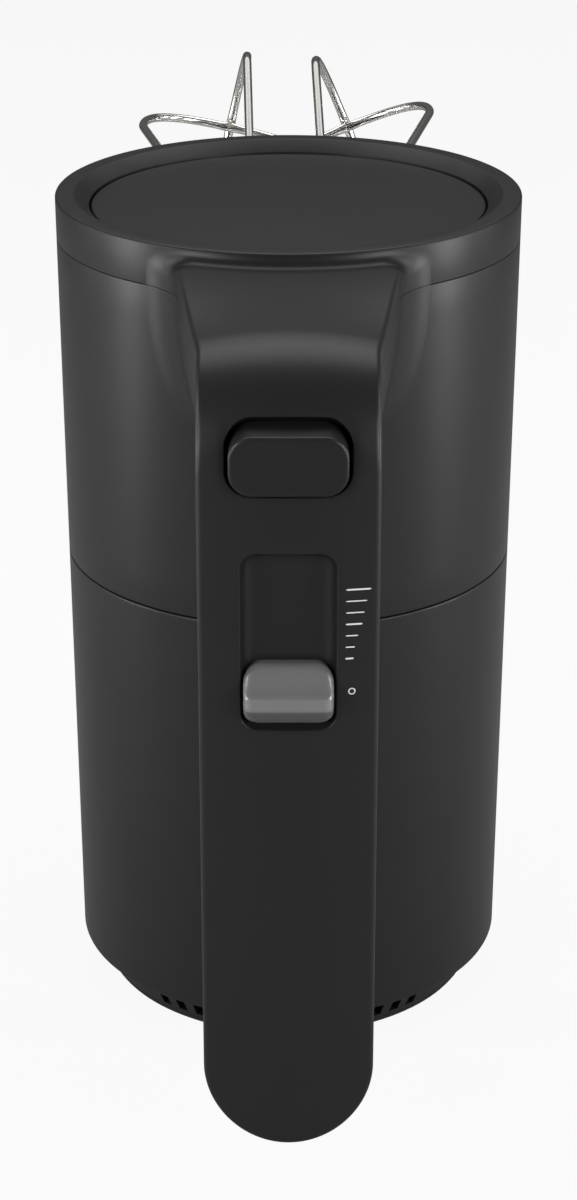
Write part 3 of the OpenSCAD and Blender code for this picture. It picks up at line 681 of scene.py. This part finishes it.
def build_nose_disc():
    """The domed disc in the nose: z = edge + 0.5 (1 - (r / 39)^2), with a fine round edge."""
    r = np.linspace(0, 38.6, 30)
    top = np.stack([r, 168.6 + 0.5 * (1 - (r / 39) ** 2)], axis=-1)
    a = np.radians(np.linspace(75, 0, 6))
    edge = np.stack([38.6 + 0.4 * np.cos(a), 168.2 + 0.4 * np.sin(a)], axis=-1)
    profile = np.concatenate([top, edge, [[39, 166.3], [0, 166.3]]])
    points, faces = revolve(profile)
    return make_object("nose_disc_skin", points, faces, look("matte_black_plastic"), "housing",
                       ["nose_disc"])


def button_hole():
    """The hole for the eject button, right through the panel."""
    z0, z1 = BUTTON_Z[0] - 0.35, BUTTON_Z[1] + 2.2
    mid = (z0 + z1) / 2
    return {
        "rect": (-(BUTTON_HALF + 1.9) / HALF_W, (BUTTON_HALF + 1.9) / HALF_W,
                 float(run_of_z(np.array(z1 + 1.0))), float(run_of_z(np.array(z0 - 1.2)))),
        "half": (BUTTON_HALF + 0.55, (z1 - z0) / 2), "r": 4.4, "steps": lip(0.35), "through": True,
        "into": (0, 1, 0), "to_u": lambda u: u * HALF_W, "to_v": lambda s: z_of_run(s) - mid,
        "from_u": lambda x: x / HALF_W, "from_v": lambda z: run_of_z(z + mid)}


def slider_pocket():
    """The pocket that the speed knob runs in: a fine round edge, a short wall and a hollow floor."""
    z0, z1 = POCKET_Z
    mid = (z0 + z1) / 2
    steps = lip(0.3) + [(0.05, 0.9), (0.2, 1.6), (0.55, 2.2), (1.1, 2.7), (1.9, 3.1), (3.0, 3.4), (4.3, 3.58),
                        (5.8, 3.68), (7.2, POCKET_DEPTH)]
    return {
        "rect": (-(POCKET_HALF + 1.1) / HALF_W, (POCKET_HALF + 1.1) / HALF_W,
                 float(run_of_z(np.array(z1 + 1.1))), float(run_of_z(np.array(z0 - 1.1)))),
        "half": (POCKET_HALF, (z1 - z0) / 2), "r": 3.0, "steps": steps, "through": False,
        "into": (0, 1, 0), "to_u": lambda u: u * HALF_W, "to_v": lambda s: z_of_run(s) - mid,
        "from_u": lambda x: x / HALF_W, "from_v": lambda z: run_of_z(z + mid), "flat_from": 0.85,
        "floor": lambda p, d: np.stack([p[:, 0], np.full(len(p), -REACH + d), p[:, 1] + mid], axis=-1)}


def build_front_panel():
    """The panel over the neck and down the handle: the surface panel_outer(u, s) over panel_inner(u, s), with
    the button's hole and the slider's pocket."""
    holes = [button_hole(), slider_pocket()]
    fixed_u = [h["rect"][k] for h in holes for k in (0, 1)]
    fixed_s = [h["rect"][k] for h in holes for k in (2, 3)]
    edge = 1 - np.array([0, 0.003, 0.008, 0.016, 0.026, 0.038, 0.05, 0.07, 0.1, 0.15])
    core = spread(-0.79, 0.79, 0.034, [*fixed_u, 0.0])
    us = np.unique(np.round(np.concatenate([-edge, core, edge]), 9))
    wall = 5 * (1 - np.cos(np.radians(np.arange(0, 91, 6))))
    fine = 2.2 * (1 - np.cos(np.radians(np.arange(8, 91, 9))))
    start = np.unique(np.round(np.concatenate([[-1.6, -0.3], wall, fine]), 4))
    middle = spread(5.5, NECK_RUN, 1.2)
    bend = spread(NECK_RUN + 0.45, END_S, 0.55, fixed_s)
    end = END_S + END_R * np.sin(np.radians(np.arange(2.5, 90.1, 2.5)))
    vs = np.unique(np.round(np.concatenate([start, middle, bend, end, fixed_s]), 6))
    vs = vs[np.concatenate([[True], np.diff(vs) > 1e-4])]
    points, faces = plate(us, vs, panel_outer, panel_inner, holes)
    return make_object("front_panel", points, faces, look("matte_black_plastic"), "housing",
                       ["top_shell"])


def build_front_wall():
    """The front half of the body's wall, a tapered tube with fine round edges at both seams."""
    lo, hi = MID_SEAM_Z + MID_GAP, NOSE_SEAM_Z - FINE_GAP
    profile = rounded([
        (wall_r(lo), lo, 0.14), (wall_r(hi), hi, 0.09), (BORE_R, hi, 0.2), (BORE_R, lo, 0.2)])
    points, faces = revolve(split_long(profile, 6))
    return make_object("front_wall", points, faces, look("matte_black_plastic"), "housing",
                       ["front_housing"])


def build_shell(name, stage, node_name):
    """A U-shaped shell through the rows of its stage, with the wall's edge closed at both ends."""
    points, faces = loft(shell_rings(shell_rows(stage)), caps=False)
    n = 2 * U_STEPS
    for base in (0, len(points) - n):
        faces += [(base + k, base + k + 1, base + n - 2 - k, base + n - 1 - k) for k in range(U_STEPS - 1)]
    return make_object(name, points, faces, look("matte_black_plastic"), "housing",
                       [node_name])


def build_rear_wall():
    """The rear half of the body's wall, with a slot for the charging port and a hole for its light."""
    lo, hi = BODY_BOTTOM_Z, MID_SEAM_Z - MID_GAP
    def outer(u, v):
        e = 0.3
        drop = quarter(v - lo, e) + quarter(hi - v, e)
        r = wall_r(v) - drop
        a = u / RIM_R
        return np.stack([r * np.cos(a), r * np.sin(a), v], axis=-1)
    def inner(u, v):
        a = u / RIM_R
        return np.stack([BORE_R * np.cos(a), BORE_R * np.sin(a), v], axis=-1)
    turn = 2 * math.pi * RIM_R
    middle = turn / 4
    def hole(z, half_u, half_v, r):
        return {
            "rect": (middle - half_u - 1, middle + half_u + 1, z - half_v - 1, z + half_v + 1),
            "half": (half_u, half_v), "r": r, "steps": lip(0.25, 3), "through": True, "into": (0, -1, 0),
            "to_u": lambda u: u - middle, "to_v": lambda v: v - z,
            "from_u": lambda x: x + middle, "from_v": lambda b: b + z}
    holes = [hole(22, 4.9, 2.05, 2.04), hole(30, 1.6, 1.6, 1.59)]
    fixed_u = [h["rect"][k] for h in holes for k in (0, 1)]
    fixed_v = [h["rect"][k] for h in holes for k in (2, 3)]
    us = np.concatenate([spread(0, middle - 6.5, 1.4)[:-1], spread(middle - 6.5, middle + 6.5, 0.4, fixed_u),
                         spread(middle + 6.5, turn, 1.4)[1:-1]])
    round_v = 0.3 * (1 - np.cos(np.radians(np.arange(0, 91, 18))))
    vs = np.concatenate([lo + round_v, spread(lo + 0.8, 18, 2), spread(18.2, 33, 0.4, fixed_v),
                         spread(34, hi - 0.8, 6), (hi - round_v)[::-1]])
    points, faces = plate(us, vs, outer, inner, holes, wrap=True)
    return make_object("rear_wall", points, faces, look("matte_black_plastic"), "housing",
                       ["rear_housing"])


def rounded_distance(x, z, half_x, half_z, r):
    """Distance inwards from the outline of a rounded rectangle."""
    qx, qz = np.abs(x) - (half_x - r), np.abs(z) - (half_z - r)
    out = np.hypot(np.maximum(qx, 0), np.maximum(qz, 0)) + np.minimum(np.maximum(qx, qz), 0) - r
    return np.maximum(-out, 0)


def pad(half_x, z0, z1, corner, front, back_y, rows, marks=(), draft=0.0):
    """A block with a rounded-rectangle outline seen from the front: x = u w(z), y = front(x, z). Its back is
    flat, and its top side rises towards the back by draft ((z - z0) / (z1 - z0))^2."""
    mid, half_z = (z0 + z1) / 2, (z1 - z0) / 2
    def width(v):
        near = np.clip(np.abs(v - mid) - (half_z - corner), 0, corner)
        return half_x - corner + np.sqrt(np.maximum(corner ** 2 - near ** 2, 0))
    def outer(u, v):
        x = u * width(v)
        d = rounded_distance(x, v - mid, half_x, half_z, corner)
        return np.stack([x, front(x, v, d), v], axis=-1)
    def inner(u, v):
        raised = v + draft * ((v - z0) / (z1 - z0)) ** 2
        return np.stack([u * width(v), np.full(len(u), back_y), raised], axis=-1)
    edge = 1 - np.array([0, 0.002, 0.006, 0.012, 0.02, 0.03, 0.045, 0.065, 0.09, 0.12, 0.16, 0.2])
    us = np.unique(np.round(np.concatenate([-edge, np.linspace(-0.75, 0.75, 31), edge]), 9))
    ends = corner * (1 - np.cos(np.radians(np.arange(0, 91, 4))))
    vs = np.unique(np.round(np.concatenate([
        z0 + ends, spread(z0 + corner, z1 - corner, (z1 - z0) / rows, marks), z1 - ends]), 6))
    return plate(us, vs, outer, inner)


def build_button():
    """The eject button: a flat face with a quarter-round edge."""
    def front(x, z, d):
        return BUTTON_FACE_Y + quarter(d, 0.6) + 0.0012 * (x ** 2)
    points, faces = pad(BUTTON_HALF, *BUTTON_Z, 4.0, front, -95.4, 16, draft=1.1)
    return make_object("eject_button_skin", points, faces, look("matte_black_plastic"), "eject_press",
                       ["eject_button"])


def knob_profile(z):
    """Front of the knob at the height z: a slope below, a narrow upright band, and a scoop above it whose
    depth grows as the 0.72 power of the height, the corners rounded by averaging."""
    total = 0
    for shift in np.linspace(-0.3, 0.3, 7):
        below = np.maximum(KNOB_Z[0] + 4.6 - z - shift, 0) / 4.6
        above = np.maximum(z + shift - KNOB_Z[0] - 7.2, 0) / (KNOB_Z[1] - KNOB_Z[0] - 7.2)
        total = total + KNOB_FACE_Y + 5 * below + 5 * above ** 0.72
    return total / 7


def build_knob():
    """The speed knob: its sloped front rounded all round the outline, more at the sides of the band."""
    deepest = -REACH + POCKET_DEPTH - 0.35
    def front(x, z, d):
        side = KNOB_HALF - np.abs(x)
        return np.minimum(knob_profile(z) + quarter(d, 0.7) + quarter(side, 1.7), deepest)
    points, faces = pad(KNOB_HALF, *KNOB_Z, 3.0, front, -REACH + POCKET_DEPTH - 0.3, 40)
    return make_object("speed_knob_skin", points, faces, look("knob_grey"), "speed_slider",
                       ["speed_knob"])


def build_marks():
    """The seven speed marks and the off ring, thin prints that follow the crown of the handle."""
    points, faces = [], []
    def strip(xs, zs, lift=0.02, sunk=0.06):
        at = panel_outer(xs / HALF_W, run_of_z(zs))
        base = len(points)
        n = len(xs) // 2
        points.extend(at - [0, lift, 0])
        points.extend(at + [0, sunk, 0])
        for k in range(n - 1):
            a, b = base + k, base + n + k
            c, d = a + 2 * n, b + 2 * n
            faces.extend([(a, a + 1, b + 1, b), (c, d, d + 1, c + 1)])
            faces.extend([(a, c, c + 1, a + 1), (b, b + 1, d + 1, d)])
        return base, n
    lengths = [4.3, 3.65, 3.2, 2.85, 2.15, 1.6, 1.4]
    for i, length in enumerate(lengths):
        z = MARK_TOP_Z - MARK_STEP * i
        half = (0.3 if i % 3 == 0 else 0.21) / 2
        t = np.linspace(0, 1, 12)
        from_end = np.clip(half - np.minimum(t, 1 - t) * length, 0, half) / half
        bulge = np.sqrt(np.clip(1 - from_end ** 2, 0.05, 1))
        x = MARK_X + length * t
        base, n = strip(np.concatenate([x, x]), np.concatenate([z + half * bulge, z - half * bulge]))
        for k in (0, n - 1):
            a, b = base + k, base + n + k
            faces.append((a, b, b + 2 * n, a + 2 * n))
    a = np.linspace(0, 2 * math.pi, 41)
    x, z, wide, narrow = OFF_RING
    strip(np.concatenate([x + wide * np.cos(a), x + narrow * np.cos(a)]),
          np.concatenate([z + wide * np.sin(a), z + narrow * np.sin(a)]))
    return make_object("speed_marks", points, faces, look("ink"), "housing")


def wire_path(end_y, foot, lean):
    """Centre line of a beater wire as (radius, y, lean): straight legs from the hub, tight rounded shoulders,
    and a superellipse dome r = R |sin|^(2/p), y = tip + h |cos|^(2/p)."""
    t = np.radians(np.linspace(-90, 90, 145))
    e = 2 / DOME_POWER
    r = CAGE_R * np.sign(np.sin(t)) * np.abs(np.sin(t)) ** e
    y = CAGE_TIP_Y + (end_y - CAGE_TIP_Y) * np.abs(np.cos(t)) ** e
    dome = np.stack([r, y], axis=-1)
    legs = [
        np.stack([np.linspace(side * foot, side * CAGE_R, 60), np.linspace(HUB_Y - 1.5, CAGE_TIP_Y, 60)], -1)
        for side in (-1, 1)]
    path = np.concatenate([legs[0][:-1], dome, legs[1][::-1][1:]])
    run = np.concatenate([[0], np.cumsum(np.linalg.norm(np.diff(path, axis=0), axis=1))])
    even = np.linspace(0, run[-1], 300)
    path = np.stack([np.interp(even, run, path[:, k]) for k in (0, 1)], axis=-1)
    for _ in range(6):
        path[1:-1] = (path[:-2] + 2 * path[1:-1] + path[2:]) / 4
    aside = lean * np.maximum(0, (CAGE_TIP_Y - path[:, 1]) / (CAGE_TIP_Y - HUB_Y))
    return np.column_stack([path, aside])


def build_wire(name, side, angle, wire, lean, wire_r):
    """One wire loop of a beater, round but pressed flatter where the two loops cross at the end."""
    path = wire_path(*wire, lean)
    c, s = math.cos(math.radians(angle)), math.sin(math.radians(angle))
    x, y, z = path[:, 0], path[:, 1], path[:, 2]
    points = np.stack([side * SPINDLE_X + x * c + z * s, y, SPINDLE_Z - x * s + z * c], axis=-1)
    near = np.exp(-((x / 2.4) ** 2)) * (y > CAGE_TIP_Y)
    radii = np.stack([wire_r * (1 - 0.22 * near), wire_r * (1 + 0.16 * near)], axis=-1)
    up = np.array([s, 0, c])
    verts, faces = tube(points, radii, up)
    body = "beater_left" if side < 0 else "beater_right"
    return make_object(name + "_wire", verts, faces, look("bright_steel"), body, [name], 50)


def build_spring():
    """The return spring behind the eject button: a wire on the helix (R cos a, y, R sin a), running from the
    button back to the end that rests on the guide."""
    a = np.linspace(0, SPRING_TURNS * 2 * math.pi, SPRING_TURNS * 24 + 1)
    y = np.linspace(SPRING_Y[0] + SPRING_WIRE_R, SPRING_Y[1] - SPRING_WIRE_R, len(a))
    path = np.stack([SPRING_R * np.cos(a), y, ROD_Z + SPRING_R * np.sin(a)], axis=-1)
    verts, faces = tube(path, np.full((len(a), 2), SPRING_WIRE_R), np.array([0.0, 1.0, 0.0]), 10)
    obj = make_object("eject_spring_wire", verts, faces, look("plain_steel"), "housing",
                      ["eject_spring"], 50)
    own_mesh(obj)
    return obj


def build_guide():
    """The plate that guides the eject rod, set inside the neck: from a round bore, each ray runs out to the
    nearest of the neck's inner curve |x / a|^p + |depth / b|^p = 1, the plate's top and the cable notch."""
    t = -GUIDE_Y[0] - RIM_R - 2
    p = u_power(t)
    half = min(GUIDE_HALF, float(outline_width(np.array([t]))[0]) - SKIN - 0.3)
    drop = NOSE_SEAM_Z - NECK_BOTTOM_Z - SKIN - 0.3
    a = np.linspace(0, 2 * math.pi, 241)[:-1]
    reach = np.arange(GUIDE_BORE_R, 28, 0.02)
    x, z = reach[None] * np.cos(a)[:, None], ROD_Z + reach[None] * np.sin(a)[:, None]
    inside = np.abs(x / half) ** p + (np.maximum(NOSE_SEAM_Z - z, 0) / drop) ** p < 1
    inside &= (z < GUIDE_TOP_Z) & ~((x > CABLE_NOTCH[0]) & (z < CABLE_NOTCH[1]))
    edge = reach[np.argmin(inside, axis=1) - 1]
    front, back = GUIDE_Y
    rings = [
        np.stack([r * np.cos(a), np.full(len(a), y), ROD_Z + r * np.sin(a)], axis=-1)
        for r, y in ((GUIDE_BORE_R, front), (edge, front), (edge, back), (GUIDE_BORE_R, back),
                     (GUIDE_BORE_R, front))]
    points, faces = loft(rings, caps=False)
    return make_object("eject_guide_plate", points, faces, look("cream_nylon"), "housing",
                       ["eject_guide"])


def dress_nodes():
    """Gives each CAD node that stays in sight or inside the material of its slot."""
    for row in frame["record"]["subparts"]:
        obj = frame["nodes"][row["node"]]
        slot = row["material_slot"]
        obj.data.materials.clear()
        obj.data.materials.append(look(slot))


# ---- Stage ----

def area_light(name, at, size, power):
    """A rectangular softbox of (width, height) that looks at the middle of the mixer."""
    data = bpy.data.lights.new(name, "AREA")
    data.shape = "RECTANGLE"
    data.size, data.size_y = size
    data.energy = power
    obj = bpy.data.objects.new(name, data)
    obj.location = at
    obj.rotation_euler = (Vector((0, -0.02, 0.12)) - Vector(at)).to_track_quat("-Z", "Y").to_euler()
    bpy.context.scene.collection.objects.link(obj)
    return obj


def floor_look():
    """A pale floor: mostly even white to the camera, and a calm grey where the mixer reflects it."""
    mat = bpy.data.materials.new("floor")
    mat.use_nodes = True
    tree = mat.node_tree
    shader = tree.nodes["Principled BSDF"]
    shader.inputs["Base Color"].default_value = (0.4, 0.4, 0.4, 1)
    shader.inputs["Roughness"].default_value = 0.9
    shader.inputs["Specular IOR Level"].default_value = 0.1
    even = node(tree, "ShaderNodeEmission")
    even.inputs["Color"].default_value = (1, 1, 1, 1)
    even.inputs["Strength"].default_value = 1.06
    rays = node(tree, "ShaderNodeLightPath")
    share = node(tree, "ShaderNodeMath", operation="MULTIPLY")
    share.inputs[1].default_value = 0.86
    tree.links.new(rays.outputs["Is Camera Ray"], share.inputs[0])
    mix = node(tree, "ShaderNodeMixShader")
    tree.links.new(share.outputs[0], mix.inputs[0])
    tree.links.new(shader.outputs[0], mix.inputs[1])
    tree.links.new(even.outputs[0], mix.inputs[2])
    tree.links.new(mix.outputs[0], tree.nodes["Material Output"].inputs["Surface"])
    return mat


def even_backdrop(tree, background):
    """Shows white to the camera beyond the floor, and leaves the light from all round as it is."""
    white = node(tree, "ShaderNodeBackground")
    white.inputs["Color"].default_value = (1, 1, 1, 1)
    white.inputs["Strength"].default_value = 0.97
    rays = node(tree, "ShaderNodeLightPath")
    mix = node(tree, "ShaderNodeMixShader")
    tree.links.new(rays.outputs["Is Camera Ray"], mix.inputs[0])
    tree.links.new(background.outputs[0], mix.inputs[1])
    tree.links.new(white.outputs[0], mix.inputs[2])
    tree.links.new(mix.outputs[0], tree.nodes["World Output"].inputs["Surface"])


def build_stage(soft_light):
    """A pale floor, plain soft light and the camera."""
    mesh = bpy.data.meshes.new("floor")
    mesh.from_pydata([(-6, -6, 0), (6, -6, 0), (6, 12, 0), (-6, 12, 0)], [], [(0, 1, 2, 3)])
    floor = bpy.data.objects.new("floor", mesh)
    bpy.context.scene.collection.objects.link(floor)
    mesh.materials.append(floor_look())
    floor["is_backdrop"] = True
    scene = bpy.context.scene
    scene.world = bpy.data.worlds.new("world")
    scene.world.use_nodes = True
    background = scene.world.node_tree.nodes["Background"]
    background.inputs["Color"].default_value = (1, 1, 1, 1)
    background.inputs["Strength"].default_value = soft_light
    even_backdrop(scene.world.node_tree, background)
    scene.view_settings.view_transform = "Standard"
    area_light("top", (0.0, 0.36, 0.92), (0.9, 0.5), 3.4)
    area_light("back", (0.0, 0.9, 0.85), (1.4, 0.3), 1.1)
    for side, word in ((-1, "left"), (1, "right")):
        area_light(word + "_low", (side * 0.62, -0.12, 0.1), (0.12, 0.2), 1.3)
        area_light(word + "_high", (side * 0.66, -0.12, 0.42), (0.12, 0.3), 1.1)
        area_light(word + "_back", (side * 0.7, 0.18, 0.25), (0.2, 0.5), 0.5)
        area_light(word + "_front", (side * 0.5, -0.5, 0.3), (0.2, 0.4), 2.4)
    data = bpy.data.cameras.new("camera")
    data.lens = 79.93
    data.sensor_width = 36
    data.clip_start, data.clip_end = 0.02, 30
    camera = bpy.data.objects.new("camera", data)
    camera.location = (0, -0.5147, 0.3054)
    camera.rotation_euler = (math.radians(66.61), 0, 0)
    scene.collection.objects.link(camera)
    scene.camera = camera


# ---- Add-on ----

PLASTIC = SLOT_LOOKS["matte_black_plastic"]["color"]
KNOB = SLOT_LOOKS["knob_grey"]["color"]


class MixerSettings(bpy.types.PropertyGroup):
    """What the panel offers to change before the pieces are built."""

    wire_diameter: bpy.props.FloatProperty(
        name="Wire diameter", description="Thickness of the beater wire", default=0.0021, min=0.001,
        max=0.003, subtype="DISTANCE", unit="LENGTH")
    plastic_colour: bpy.props.FloatVectorProperty(
        name="Plastic colour", description="Colour of the matte black shells and the button", default=PLASTIC,
        min=0.0, max=1.0, subtype="COLOR")
    knob_colour: bpy.props.FloatVectorProperty(
        name="Knob colour", description="Colour of the speed knob", default=KNOB, min=0.0, max=1.0,
        subtype="COLOR")
    soft_light: bpy.props.FloatProperty(
        name="Soft light", description="Strength of the even light around the mixer", default=0.1,
        min=0.0, max=1.0, subtype="FACTOR")


class MIXER_OT_shells(bpy.types.Operator):
    """Dresses the CAD nodes and builds the shells of the body, neck and handle"""

    bl_idname = "mixer.shells"
    bl_label = "Shells"

    def execute(self, context):
        settings = context.scene.mixer_settings
        SLOT_LOOKS["matte_black_plastic"]["color"] = tuple(settings.plastic_colour)
        SLOT_LOOKS["knob_grey"]["color"] = tuple(settings.knob_colour)
        dress_nodes()
        build_nose_ring()
        build_nose_disc()
        build_front_panel()
        build_front_wall()
        build_shell("neck_shell", "neck", "front_housing")
        build_shell("grip_skin", "grip", "grip_shell")
        build_rear_wall()
        return {"FINISHED"}


class MIXER_OT_controls(bpy.types.Operator):
    """Builds the eject button with its spring and guide, the speed knob and the printed marks"""

    bl_idname = "mixer.controls"
    bl_label = "Controls"

    def execute(self, context):
        build_button()
        build_spring()
        build_guide()
        build_knob()
        build_marks()
        return {"FINISHED"}


class MIXER_OT_beaters(bpy.types.Operator):
    """Builds the four wire loops of the beaters"""

    bl_idname = "mixer.beaters"
    bl_label = "Beaters"

    def execute(self, context):
        wire_r = context.scene.mixer_settings.wire_diameter * 500
        for side, word, phase in ((-1, "left", LEFT_PHASE), (1, "right", RIGHT_PHASE)):
            build_wire(word + "_upright_loop", side, 90 + phase, UPRIGHT_WIRE, -side * WIRE_LEAN, wire_r)
            build_wire(word + "_level_loop", side, phase, LEVEL_WIRE, 0, wire_r)
        return {"FINISHED"}


class MIXER_OT_stage(bpy.types.Operator):
    """Builds the floor, the lights and the camera"""

    bl_idname = "mixer.stage"
    bl_label = "Stage"

    def execute(self, context):
        build_stage(context.scene.mixer_settings.soft_light)
        return {"FINISHED"}


class MIXER_PT_panel(bpy.types.Panel):
    """The mixer's panel in the sidebar"""

    bl_label = "Hand mixer"
    bl_idname = "MIXER_PT_panel"
    bl_space_type = "VIEW_3D"
    bl_region_type = "UI"
    bl_category = "Hand mixer"

    def draw(self, context):
        settings = context.scene.mixer_settings
        for name in ("wire_diameter", "plastic_colour", "knob_colour", "soft_light"):
            self.layout.prop(settings, name)
        for cls in OPERATORS:
            self.layout.operator(cls.bl_idname)


OPERATORS = (MIXER_OT_shells, MIXER_OT_controls, MIXER_OT_beaters, MIXER_OT_stage)
CLASSES = (MixerSettings, *OPERATORS, MIXER_PT_panel)


def register():
    """Registers the classes and the settings."""
    for cls in CLASSES:
        bpy.utils.register_class(cls)
    bpy.types.Scene.mixer_settings = bpy.props.PointerProperty(type=MixerSettings)


def unregister():
    """Takes the settings and the classes away again."""
    del bpy.types.Scene.mixer_settings
    for cls in reversed(CLASSES):
        bpy.utils.unregister_class(cls)


def corners(pair):
    """Two corners as plain lists."""
    return [[float(x) for x in p] for p in pair]


def main():
    """Registers the add-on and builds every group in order."""
    register()
    before = corners(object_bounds())
    bpy.ops.mixer.shells()
    bpy.ops.mixer.controls()
    bpy.ops.mixer.beaters()
    bpy.ops.mixer.stage()
    bpy.context.view_layer.update()
    {"cad": before, "visual": corners(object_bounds())}


if __name__ == "__main__":
    main()
